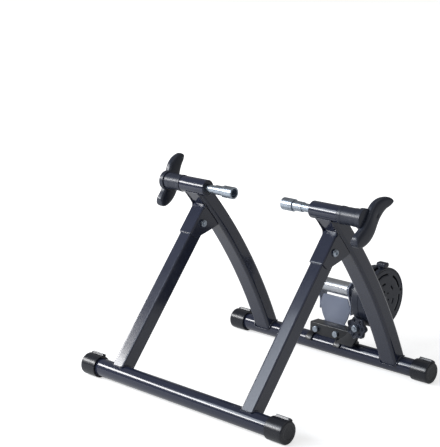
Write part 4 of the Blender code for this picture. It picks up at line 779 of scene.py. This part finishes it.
# %% [markdown]
# ## Rods and cups
# The rod slides in the bush and carries a cup with a deep bore. The cup has a bright rim and a shallow
# groove near its back, and behind it the rod has a shoulder.

# %% Rods and cups
rod = [(196.0, 0), (196.0, 8.5), (117.0, 8.5), (117.0, 10.0), (94.3, 10.0), (94.3, 4.0), (89.3, 4.0), (89.3, 0)]
cup = [(94.0, 4.3), (94.0, 12.5), (89.5, 12.5), (89.0, 11.9), (87.6, 11.9), (87.1, 12.5), (66.5, 12.5), (66.5, 9.2),
       (83.5, 9.2), (83.5, 4.3)]
cup_radii = [0.3, 0.9, 0.3, 0.3, 0.3, 0.3, 1.0, 0.9, 1.5, 0.3]
for name, side in SIDES.items():
    turned_piece(
        f"push_rod_{name}", rod, [0.8, 0.3, 0.9, 0.7, 0.2, 0.5], on(CLAMP), ZINC, f"rod_{name}",
        f"clamp_rod_{name}", side, steps=96, corner_steps=6)
    turned_piece(
        f"skewer_cup_{name}", cup, cup_radii, on(CLAMP), ZINC, f"rod_{name}", f"axle_cup_{name}", side,
        corner_steps=6)

# %% [markdown]
# ## Handles
# The handle is a thick crescent that curls round the clamp axis and ends in a toe that leans outward.
# It is a loft: pairs of points on its front and back edges give the middle and the width of each
# section, and the section is a superellipse, |a|^e + |b|^e = 1, between an oval and a rectangle.
# A smooth curve through the pairs (Catmull-Rom) gives many sections from a few.

# %% Handle helpers
def smooth(points, between):
    """An open Catmull-Rom curve through points, with between steps from each to the next."""
    points = np.asarray(points, float)
    p = np.concatenate([2 * points[:1] - points[1:2], points, 2 * points[-1:] - points[-2:-1]])
    t = (np.arange(between) / between)[None, :, None]
    a, b, c, d = (p[k:len(p) - 3 + k][:, None] for k in range(4))
    curve = 0.5 * (2 * b + (c - a) * t + (2 * a - 5 * b + 4 * c - d) * t**2 + (3 * b - a - 3 * c + d) * t**3)
    return np.concatenate([curve.reshape(-1, points.shape[1]), points[-1:]])


def blunt(distance, length):
    """Goes from 0 at an end to 1 at length from it, as a blunt nose does: sqrt(1 - (1 - distance / length)^2.4)."""
    return np.sqrt(np.clip(1 - np.clip(1 - distance / length, 0, 1) ** 2.4, 0, 1))


FRONT_EDGE = [
    (-33.6, -43.0), (-33.9, -37.0), (-31.6, -29.4), (-24.6, -23.2), (-16.4, -17.4), (-8.2, -8.6), (-1.4, -0.5),
    (4.0, 7.9), (9.0, 15.8), (14.0, 22.6), (20.0, 28.6), (28.0, 33.2), (37.0, 36.0), (47.5, 36.7), (56.0, 36.0),
    (62.0, 34.0), (66.0, 31.0), (67.8, 27.0)]
BACK_EDGE = [
    (-33.4, -44.2), (-27.4, -50.0), (-17.0, -51.9), (-5.0, -50.0), (6.5, -44.8), (16.0, -37.6), (24.0, -28.4),
    (29.8, -19.0), (34.4, -10.6), (39.0, -2.6), (44.6, 4.4), (50.0, 9.8), (55.5, 13.6), (60.5, 16.0), (64.0, 18.4),
    (66.4, 21.0), (67.6, 23.4), (67.9, 25.6)]
front_line, back_line = smooth(FRONT_EDGE, 7), smooth(BACK_EDGE, 7)
print("handle:", len(front_line), "sections from", len(FRONT_EDGE), "pairs of points")

# %% Crescent
THICK_AT_HUB, THICK_AT_TOE = 19.0, 13.5
share = np.clip(((front_line + back_line)[:, 0] / 2 - 18.0) / 50.0, 0, 1)
half_thick = THICK_AT_HUB / 2 * (1 - share * (1 - THICK_AT_TOE / THICK_AT_HUB))
tip = np.linspace(0, 1, len(front_line))
half_thick *= blunt(tip, 0.085) * blunt(1 - tip, 0.07)
angle = np.linspace(0, 2 * np.pi, 72, endpoint=False)[None, :]
power = 2 / 3.1
wide = np.sign(np.cos(angle)) * np.abs(np.cos(angle)) ** power
thick = np.sign(np.sin(angle)) * np.abs(np.sin(angle)) ** power
middle, reach = (front_line + back_line) / 2, (front_line - back_line) / 2
local = middle[:, None] + wide[..., None] * reach[:, None]
along, across = local[..., 0], local[..., 1]
scoop = 1.6 * np.exp(-(((along - 24) / 13) ** 2 + ((across + 4) / 20) ** 2)) * (thick > 0)
slit = 2.2 * window(along - 0.25 * across, 24.6, 27.4, 1.4) * window(across, 1.0, 8.5, 1.6) * (thick > 0.6)
stand_off = 265.7 + 7.5 * share[:, None] ** 1.5 + thick * half_thick[:, None] - scoop - slit
print("handle: its outer face is", round(float(stand_off.max()), 1), "mm from the middle of the stand")

# %% Handles with their hubs
HUB_RADIUS, HUB_INNER, HUB_OUTER = 20.5, 255.0, 265.8
LOCKED = {"left": 18.0, "right": 0.0}  # degrees: the left handle is locked further round
hub = [(HUB_INNER, SPINDLE_BORE), (HUB_INNER, HUB_RADIUS), (HUB_OUTER, HUB_RADIUS), (HUB_OUTER, 0.0)]
hub = np.concatenate([[(262.3, 0.0), (262.3, SPINDLE_BORE)], round_corners(hub, [1.2, 1.8], 8)])
for name, side in SIDES.items():
    locked = math.radians(LOCKED[name])
    turned = np.array([(math.cos(locked), math.sin(locked)), (-math.sin(locked), math.cos(locked))])
    crescent = np.concatenate([(side * stand_off)[..., None], CLAMP + local @ turned], -1)
    shells = [grid(crescent), grid(turn(hub, on(CLAMP), side=side, steps=144))]
    make_piece(f"crescent_handle_{name}", shells, NYLON, f"handle_{name}", f"clamp_handle_{name}", sharp=60)

# %% [markdown]
# ## Plates with rounded edges
# The roller unit's sheet and cast pieces are outlines with a thickness. A plate is six rings: the
# outline drawn in a little at each face, and the full outline between them, so its edges are rounded.
# Each face is closed by one many-sided polygon, or by a band of quads down to a round hole.

# %% Plate helpers
def draw_in(outline, amount):
    """Moves each point of a closed outline inward by amount, along the mean of its two sides' normals."""
    sides = np.roll(outline, -1, axis=0) - outline
    normal = np.stack([-sides[:, 1], sides[:, 0]], -1) / np.linalg.norm(sides, axis=1)[:, None]
    mean = normal + np.roll(normal, 1, axis=0)
    mean /= np.maximum((mean * mean).sum(1), 0.4)[:, None] / 2
    area = np.sum(outline[:, 0] * np.roll(outline[:, 1], -1) - np.roll(outline[:, 0], -1) * outline[:, 1])
    return outline + math.copysign(amount, area) * mean


def plate(outline, low, high, edge, view="side", hole=None):
    """A plate from low to high, of an outline in the side view (back, up) or the front view (x, up).
    hole is (back, up, radius)."""
    levels = [(low, edge), (low + 0.3 * edge, 0.3 * edge), (low + edge, 0)]
    levels += [(high - edge, 0), (high - 0.3 * edge, 0.3 * edge), (high, edge)]
    rings = [(level, draw_in(outline, inset)) for level, inset in levels]
    if hole is not None:
        away = outline - hole[:2]
        turns = np.arctan2(away[:, 1], away[:, 0])
        bore = hole[:2] + hole[2] * np.stack([np.cos(turns), np.sin(turns)], -1)
        rings = [*rings, (high, bore), (low, bore)]
    count = len(outline)
    stack = np.stack([np.concatenate([np.full((count, 1), level), ring], 1) for level, ring in rings])
    if view == "front":
        stack = stack[..., [1, 0, 2]]
    points, quads = grid(stack, rows_close=hole is not None)
    faces = quads.tolist()
    if hole is None:
        faces += [list(range(count))[::-1], list(range(5 * count, 6 * count))]
    return points, faces


def arc(centre, radius, start, stop, count):
    """count points on a circle, from one angle to another, in degrees."""
    angle = np.radians(np.linspace(start, stop, count))
    return np.array(centre) + radius * np.stack([np.cos(angle), np.sin(angle)], -1)


print("a plate of a 20 mm square has", len(plate(rounded_rectangle(10, 10, 2), 0, 3, 0.5)[0]), "points")

# %% [markdown]
# ## The roller unit's seat
# A cast block lies on the rear foot tube and two hooks reach round the tube from it. In front, an arm on
# a shelf carries the hand knob. The arm is split into two leaves, which the knob draws together.

# %% Seat block and hooks
BACK, UP = REAR  # the seat is drawn from the rear foot tube's axis
BLOCK_FRONT, BLOCK_BACK, BLOCK_BOTTOM, BLOCK_TOP = -7.1, 21.6, 11.0, 43.5
BLOCK_LEFT, BLOCK_RIGHT = -45.0, 66.0
HOOK_WIDTH, HOOK_THICKNESS = 16.0, 3.5
over = math.degrees(math.acos(BLOCK_FRONT / COPE_RADIUS))
behind = math.degrees(math.asin(BLOCK_BOTTOM / COPE_RADIUS))
front_foot = (BLOCK_FRONT, COPE_RADIUS * math.sin(math.radians(over)))
back_foot = (COPE_RADIUS * math.cos(math.radians(behind)), BLOCK_BOTTOM)
block = [back_foot, (BLOCK_BACK, BLOCK_BOTTOM), (BLOCK_BACK, BLOCK_TOP), (BLOCK_FRONT, BLOCK_TOP), front_foot]
block = round_corners(block, [1.5, 3.0, 3.0], 6)[1:-1] + REAR
block = np.concatenate([arc(REAR, COPE_RADIUS, over, behind, 24), block])
hook = np.concatenate([arc(REAR, COPE_RADIUS + HOOK_THICKNESS, -60, 165, 90), arc(REAR, COPE_RADIUS, 165, -60, 90)])
seat = [plate(block, BLOCK_LEFT, BLOCK_RIGHT, 0.9)]
seat += [plate(hook, low, low + HOOK_WIDTH, 0.6) for low in (-47.0, 31.0)]
print("seat block:", BLOCK_RIGHT - BLOCK_LEFT, "mm wide")

# %% Arm of the hand knob
KNOB_X, KNOB_Y, KNOB_Z = 106.0, BACK - 31.5, UP + 68.0
LEAF, LEAF_PITCH = 3.2, 4.8
arm = [(97.99, 60.01), (70.0, 40.0), (50.0, 26.0), (50.0, 20.0), (88.0, 20.0), (94.0, 30.0), (113.99, 60.01)]
arm = round_corners(arm, [8, 3, 1, 4, 4], 6)[1:-1] + (0, UP)
arm = np.concatenate([arm, arc((KNOB_X, KNOB_Z), 11.3, -45, 135, 50)])
first = KNOB_Y + GAP
seat += [plate(arm, first + start, first + LEAF + start, 0.7, "front") for start in (0.0, LEAF_PITCH)]
root = round_corners([(50, 20), (88, 20), (94, 30), (98.3, 36.5), (65, 36.5), (50, 26)], 1.0, 4, close=True) + (0, UP)
seat += [plate(root, KNOB_Y + 2.8, KNOB_Y + 5.8, 0.1, "front")]
shelf = rounded_rectangle(19.0, 3.0, 0.8, 5) + (69.0, UP + 23.0)
seat += [plate(shelf, KNOB_Y + 4.0, BACK - 3.5, 0.6, "front")]
make_piece("seat_hooks_and_arm", seat, CAST, "unit", "unit_saddle", sharp=45)

# %% [markdown]
# ## Seat bolts and nuts
# Two hexagon bolts run through the block and the grey bracket's tab, with their heads to the front.

# %% Seat bolts and nuts
TAB_FRONT, TAB_BACK = 21.9, 24.9  # the grey sheet behind the block
SEAT_X, SEAT_Z = 27.5, UP + 29.4
BOLT_RADIUS, BOLT_FLATS, HEAD_HEIGHT, NUT_HEIGHT, BOLT_END = 4.0, 13.0, 5.3, 6.2, 1.5
head_face = BACK + BLOCK_FRONT - GAP
shank_length = TAB_BACK + GAP + NUT_HEIGHT + BOLT_END - BLOCK_FRONT + GAP
shank = np.stack([np.linspace(-shank_length, 0.0, 90), np.full(90, BOLT_RADIUS)], -1)
shank = np.concatenate([[(-shank_length, 0)], shank, [(0.0, 0)]])
for name, side in SIDES.items():
    x = side * SEAT_X
    ring, radius = hex_body(BOLT_FLATS, 0.0, HEAD_HEIGHT, 0.0)
    hexagon_head = turn(ring, (x, head_face, SEAT_Z), "y", -1, 96, radius=radius)
    screw = turn(shank, (x, head_face, SEAT_Z), "y", -1, 48, radius=thread(BOLT_RADIUS))
    make_piece(f"seat_screw_{name}", [grid(hexagon_head), grid(screw)], ZINC, "unit", f"seat_bolt_{name}")
    hex_nut(
        f"seat_hexnut_{name}", f"seat_nut_{name}", "unit", BOLT_FLATS, 0.0, NUT_HEIGHT, BOLT_RADIUS + GAP,
        (x, BACK + TAB_BACK + GAP, SEAT_Z), "y",
    )

# %% [markdown]
# ## The hand knob
# A moulded knob with seven lobes. Its radius is 23 mm plus 2 mm times the cosine of seven times the
# angle. The front face is dished, with a raised boss in the middle and a shallow pocket in each lobe.
# Each row of the surface is a depth, and a share of that radius.

# %% Knob and its nut
DISH = 8.2
rows = [(10.0, 0.20), (10.0, 0.30), (9.9, 0.34), (8.4, 0.37), (DISH, 0.41), (DISH, 0.46)]
rows += [(DISH, q) for q in np.linspace(0.50, 0.84, 14)]
rows += [(8.3, 0.87), (9.6, 0.90), (10.0, 0.93), (9.8, 0.965), (9.1, 0.99), (8.4, 1.0)]
rows += [(1.6, 1.0), (0.8, 0.99), (0.2, 0.965), (0.0, 0.93), (0.0, 0.20)]
depth, share = (column[:, None] for column in np.array(rows).T)
spin = np.linspace(0, 2 * np.pi, 280, endpoint=False)
wave = np.cos(7 * spin)
r = np.where(share < 0.25, BOLT_RADIUS + GAP, share * (23.0 + 2.0 * wave))
pocket = 2.6 * window(share, 0.56, 0.80, 0.08) * window(wave, 0.05, 2.0, 0.5) * (depth == DISH)
knob = np.stack([KNOB_X + r * np.cos(spin), KNOB_Y - (depth - pocket), KNOB_Z + r * np.sin(spin)], -1)
make_piece("hand_knob", [grid(knob, rows_close=True)], NYLON, "knob", "tension_knob", sharp=50)
knob_nut_at = (KNOB_X, KNOB_Y - 10.0 - GAP, KNOB_Z)
hex_nut("knob_hexnut", "knob_nut", "knob", 13.2, 0.0, NUT_HEIGHT, BOLT_RADIUS + GAP, knob_nut_at, "y", -1)

# %% Bolt of the arm
bolt_front, bolt_back = 19.5, -8.6
shank = np.stack([np.linspace(bolt_front, bolt_back, 100), np.full(100, BOLT_RADIUS)], -1)
head = [(bolt_back, 9.0), (-9.4, 9.0), (-11.2, 7.6), (-12.2, 4.5), (-12.2, 0)]
profile = np.concatenate([[(bolt_front, 0), (bolt_front, 3.2)], shank[2:], head])


def shank_thread(r, along, angle):
    """The thread on the shank alone, not on the head."""
    return np.where(r > BOLT_RADIUS + 0.2, r, thread(BOLT_RADIUS)(r, along, angle))


screw = turn(profile, (KNOB_X, KNOB_Y, KNOB_Z), "y", -1, 48, radius=shank_thread)
make_piece("lug_bolt", [grid(screw)], ZINC, "unit", "band_bolt")

# %% [markdown]
# ## The grey bracket
# A folded U of 3 mm sheet: a web in front of and below the roller, and a cheek on each side that holds a
# bearing. The web narrows to a tab at its foot, which the seat bolts hold.

# %% Grey bracket
BEARING_SEAT, CHEEK_INNER, CHEEK_OUTER = 11.3, 40.5, 43.5
half = [(33.5, 103.5), (42.0, 80.0), (34.5, 57.0), (26.8, 43.5), (36.0, 41.5), (36.0, 22.0)]
whole = np.array(half + [(-a, b) for a, b in half[::-1]])
web = round_corners(whole, [4, 6, 6, 2, 1, 2, 2, 1, 2, 6, 6, 4], 6, close=True) + (0, UP)
shells = [plate(fill_sides(web, 3.0), BACK + TAB_FRONT, BACK + TAB_BACK, 0.7, "front")]
fold_back = BACK + TAB_FRONT + GAP
cheek = [(fold_back, UP + 90.0), (fold_back, UP + 68.0), (BACK + 41.9, UP + 68.0)]
cheek = np.concatenate([cheek, arc(ROLLER, 18.5, -25, 205, 60)])
for low, high in ((-CHEEK_OUTER, -CHEEK_INNER), (CHEEK_INNER, CHEEK_OUTER)):
    shells.append(plate(fill_sides(cheek, 2.0), low, high, 0.6, "side", (*ROLLER, BEARING_SEAT)))
make_piece("grey_cradle", shells, SHEET_GREY, "unit", "u_bracket", sharp=45)

# %% [markdown]
# ## Roller, shaft and bearings
# The roller is steel, 32 mm across. Its shaft turns in two small sealed bearings, whose dark seal sits
# in a groove between the outer and the inner race.

# %% Roller and bearings
ROLLER_RADIUS, ROLLER_HALF, SHAFT_RADIUS = 16.0, 37.5, 5.0
SHAFT_BORE = SHAFT_RADIUS + GAP
roller = [(ROLLER_HALF, SHAFT_BORE), (ROLLER_HALF, ROLLER_RADIUS), (-ROLLER_HALF, ROLLER_RADIUS),
          (-ROLLER_HALF, SHAFT_BORE)]
turned_piece("drive_roller", roller, [0.4, 1.4, 1.4, 0.4], on(ROLLER), POLISHED, "rotor", "roller", steps=192)
inner_face = [(38.5, SHAFT_BORE), (38.5, 7.0), (39.0, 7.2), (39.0, 9.4), (38.5, 9.6), (38.5, 11.0)]
outer_face = [(45.5, 11.0), (45.5, 9.6), (45.0, 9.4), (45.0, 7.2), (45.5, 7.0), (45.5, SHAFT_BORE)]
for name, side in SIDES.items():
    turned_piece(
        f"sealed_bearing_{name}", inner_face + outer_face, 0.3, on(ROLLER), BARE, "unit", f"bearing_{name}",
        side, steps=96, corner_steps=4)

# %% Shaft and its nut
SHAFT_RIGHT, SHAFT_NUT, THREAD_START = 103.0, 6.0, -46.0
low = -(CHEEK_INNER + 1.5 + 3.5 + GAP + SHAFT_NUT + 1.5)
plain = np.linspace(SHAFT_RIGHT - 0.6, THREAD_START, 8)
threaded = np.linspace(THREAD_START - 0.1, low, 40)
rows = np.concatenate([plain, threaded])
side_line = np.stack([rows, 0 * rows + SHAFT_RADIUS], -1)
shaft = np.concatenate([[(SHAFT_RIGHT, 0), (SHAFT_RIGHT, 4.4)], side_line, [(low, 0)]])


def end_thread(r, along, angle):
    """The thread on the shaft's left end, where the nut sits."""
    return np.where(along < THREAD_START - 0.05, thread(SHAFT_RADIUS)(r, along, angle), r)


make_piece("drive_shaft", [grid(turn(shaft, on(ROLLER), steps=64, radius=end_thread))], BARE, "rotor", "roller_shaft")
hex_nut("shaft_hexnut", "shaft_nut", "rotor", 14.7, low + 1.5, low + 1.5 + SHAFT_NUT, SHAFT_BORE, on(ROLLER))

# %% [markdown]
# ## The magnet drum
# A moulded cup round the flywheel, closed by a lid with arc-shaped slots. The cup has a window at its
# top for the selector's arm: the quads there are left out, and a wall modifier gives the rest its
# thickness. A fine groove runs round it near the window.

# %% Drum housing
DRUM_RADIUS, LID_FACE, LID_THICKNESS = 65.9, 126.0, 3.7
WINDOW_FROM, WINDOW_TO = 107.0, 116.0
mouth = LID_FACE - LID_THICKNESS - GAP
line = [(mouth, DRUM_RADIUS), (89.0, DRUM_RADIUS), (85.0, 61.9), (85.0, 18.5), (81.0, 14.5), (43.8, 14.5)]
outer = round_corners(line, [3.0, 3.0, 3.0, 1.5], 8)
swing = math.degrees(math.atan2(6.5, 63.4)) + 24.0  # half of the arm's width, and its swing
gap = np.linspace(90 - swing, 90 + swing, 41)
rest = np.linspace(90 + swing, 450 - swing, 121)[1:-1]
angles = np.radians(np.concatenate([gap, rest]))
wall_along = np.sort(np.concatenate([np.linspace(90.5, mouth, 64), [WINDOW_FROM, WINDOW_TO]]))[::-1]
wall_rows = np.stack([wall_along, DRUM_RADIUS - 0.9 * window(wall_along, 103.6, 105.6, 0.6)], -1)
shell_line = np.concatenate([wall_rows, outer[np.searchsorted(-outer[:, 0], -90.5):]])
stays = np.ones((len(shell_line) - 1, len(angles)), bool)
middle = (shell_line[1:, 0] + shell_line[:-1, 0]) / 2
stays[np.ix_((middle < WINDOW_TO) & (middle > WINDOW_FROM), np.arange(len(angles)) < len(gap) - 1)] = False
shell = grid(turn(shell_line, on(ROLLER), angles=angles), keep=stays)
make_piece("drum_cup", [shell], NYLON, "unit", "drum_housing", inside=on(ROLLER, 100.0), wall=2.5, edge=0.4)

# %% [markdown]
# ## The drum's lid
# The lid has three rings of six slots: long ones near its rim, then short ones, then small ones round the
# boss. It is a polar grid whose lines lie on the slots' edges, so a slot is made by leaving out the
# quads inside it, and a wall modifier gives the rest its thickness.

# %% Slots of the lid
SLOTS, AROUND = 6, 38 / 60  # how many slots a ring has, and the first one's middle as a share of the step
SLOT_RINGS = [(48.9, 53.1, 42, 22), (29.0, 32.6, 22, 12), (12.2, 16.4, 14, 8)]  # inner, outer, degrees, lines
step = 360 / SLOTS


def slot_angles(span, lines):
    """Angles of the lines of a polar grid that run through every slot's two ends and its middle."""
    middle = (np.arange(SLOTS) + AROUND)[:, None] * step
    return (middle + np.linspace(-span / 2, span / 2, lines)[None, :]).ravel()


lines = [slot_angles(span, count) for _, _, span, count in SLOT_RINGS]
degrees = np.unique(np.round(np.concatenate([*lines, np.arange(0, 360, 2.0)]) % 360, 3))
degrees = degrees[np.concatenate([[True], np.diff(degrees) > 0.4])]
print("lid:", len(degrees), "lines round it")

# %% Drum lid
BOSS_RADIUS = 9.0
rim = round_corners([(LID_FACE, 60.0), (LID_FACE, DRUM_RADIUS), (LID_FACE - LID_THICKNESS, DRUM_RADIUS)], 1.6, 6)[1:]
face_radii = [7.5, BOSS_RADIUS, 11.5, 12.2, 16.4, 18.0, 23.0, 29.0, 32.6, 38.0, 44.0, 48.9, 53.1, 56.0, 60.5]
face = [(LID_FACE, r) for r in face_radii]
groove = [(LID_FACE, 61.2), (LID_FACE - 0.8, 61.6), (LID_FACE - 0.8, 62.4), (LID_FACE, 62.8)]
profile = np.concatenate([face, groove, rim])
lid = turn(profile, on(ROLLER), angles=np.radians(degrees))
next_degrees = np.append(degrees[1:], degrees[0] + 360)
away = ((degrees + next_degrees) / 2 - AROUND * step + step / 2) % step - step / 2
ring_of = (profile[1:, 1] + profile[:-1, 1]) / 2
stays = np.ones((len(profile) - 1, len(degrees)), bool)
for inner, outer, span, _ in SLOT_RINGS:
    stays[np.ix_((ring_of > inner) & (ring_of < outer), np.abs(away) < span / 2)] = False
shell = grid(lid, keep=stays)
make_piece("drum_lid", [shell], NYLON, "unit", "drum_cover", inside=on(ROLLER, 110.0), wall=LID_THICKNESS, edge=0.35)
boss = [(106.0, 0), (106.0, BOSS_RADIUS), (122.5, BOSS_RADIUS), (125.6, BOSS_RADIUS), (125.6, 7.5), (LID_FACE, 7.5),
        (LID_FACE, 0)]
turned_piece("lid_boss", boss, 0.3, on(ROLLER), NYLON, "unit", steps=96, corner_steps=3, sharp=40)

# %% [markdown]
# ## Screws of the lid
# Three small pan-head screws with a cross recess. The recess is cut into the head's surface: the height
# drops by 0.9 mm where the distance to either of two crossing lines is small.

# %% Lid screws
SCREW_CIRCLE, SCREW_RADIUS, SCREW_HEIGHT, RECESS = 58.5, 3.0, 1.4, 0.9
q = np.linspace(0, 1, 22)[:, None]
angle = np.linspace(0, 2 * np.pi, 96, endpoint=False)[None, :]
a, b = SCREW_RADIUS * q * np.cos(angle), SCREW_RADIUS * q * np.sin(angle)
level_bar = window(a, -1.7, 1.7, 0.3) * window(b, -0.4, 0.4, 0.25)
upright_bar = window(a, -0.4, 0.4, 0.25) * window(b, -1.7, 1.7, 0.3)
height = SCREW_HEIGHT * np.sqrt(np.clip(1 - (q * 0.97) ** 6, 0, 1)) - RECESS * np.maximum(upright_bar, level_bar)
dome = np.stack([height, a, b], -1)
base = np.stack([0 * angle, SCREW_RADIUS * np.cos(angle), SCREW_RADIUS * np.sin(angle)], -1)
screw = np.concatenate([dome, base, 0 * base])
for index in range(3):
    place = math.radians(120 * index + 8)
    centre = on(ROLLER + SCREW_CIRCLE * np.array([math.cos(place), math.sin(place)]), LID_FACE + GAP)
    make_piece(f"lid_screw_{index + 1}", [grid(screw + centre)], CAST, "unit", f"cover_screw_{index + 1}")

# %% [markdown]
# ## Selector
# The resistance is set by turning a ring of magnets against the flywheel. Its lever comes out of the
# drum's window. The lever is a rounded block: rings of a rounded rectangle carried along X, drawn in at
# both ends by the quarter circle of its edge, with small ridges across its top for a finger.

# %% Ring and arm of the selector
RING_FROM, RING_TO = 108.5, 114.5
ring = [(RING_FROM, 9.3), (RING_FROM, 53.9), (RING_TO, 53.9), (RING_TO, 9.3)]
ring = round_corners(ring, [0.3, 0.8, 0.8, 0.3], 4, close=True)
disc = grid(turn(ring, on(ROLLER), steps=128), rows_close=True)
arm = plate(rounded_rectangle(5.0, 11.0, 0.5, 3) + ROLLER + (0, 60.0), RING_FROM, RING_TO, 0.5)
print("selector ring and arm:", len(disc[0]) + len(arm[0]), "points")

# %% Lever
LEVER_FROM, LEVER_TO, LEVER_EDGE = 105.5, 129.0, 3.0
LEVER_HALF_WIDTH, LEVER_HALF_HEIGHT, LEVER_MIDDLE = 8.0, 4.85, 72.55
bulge = np.radians(np.linspace(0, 90, 9))
inset = LEVER_EDGE * (1 - np.sin(bulge))
advance = LEVER_EDGE * (1 - np.cos(bulge))
straight = np.linspace(108.6, 125.9, 60)
stations = np.concatenate([[LEVER_FROM], LEVER_FROM + advance, straight, LEVER_TO - advance[::-1], [LEVER_TO]])
insets = np.concatenate([[FAR], inset, 0 * straight, inset[::-1], [FAR]])[:, None]
stations = stations[:, None]
outline = rounded_rectangle(LEVER_HALF_WIDTH, LEVER_HALF_HEIGHT, LEVER_EDGE, 12)
a = outline[:, 0] * (1 - np.minimum(insets, LEVER_HALF_WIDTH) / LEVER_HALF_WIDTH)
b = outline[:, 1] * (1 - np.minimum(insets, LEVER_HALF_HEIGHT) / LEVER_HALF_HEIGHT)
ridge = 0.3 * (1 - np.cos(2 * np.pi * (stations - 110) / 3.0)) * window(stations, 110, 125, 1.5) * (b > 3)
lever = np.stack([stations + 0 * a, ROLLER[0] + a, ROLLER[1] + LEVER_MIDDLE + b - ridge], -1)
make_piece("selector_lever", [disc, arm, grid(lever)], NYLON, "selector", "magnet_carrier", sharp=45)

# %% [markdown]
# ## Solids that stay
# The flywheel, the magnets and the handles' cams sit inside other pieces. Their solids are right as
# they are, so they only get their finish.

# %% Finishes of the solids that stay
slots = {row["node"]: row["material_slot"] for row in frame["record"]["subparts"]}
for node, solid in frame["nodes"].items():
    solid.data.materials.clear()
    solid.data.materials.append(FINISH[slots[node]])
print("solids shown as they are:", [n for n, o in frame["nodes"].items() if not o.hide_render])

# %% [markdown]
# How far the dressed model grows past the CAD model's box, below and above, is printed in mm. The
# dressed model has to stay inside the CAD model's box.

# %% How far the model grows past the CAD box
low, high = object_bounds()
below = [round(1000 * max(c - v, 0), 2) for c, v in zip(cad_low, low)]
beyond = [round(1000 * max(v - c, 0), 2) for c, v in zip(cad_high, high)]
print("grows past the CAD box by mm:", below, beyond)
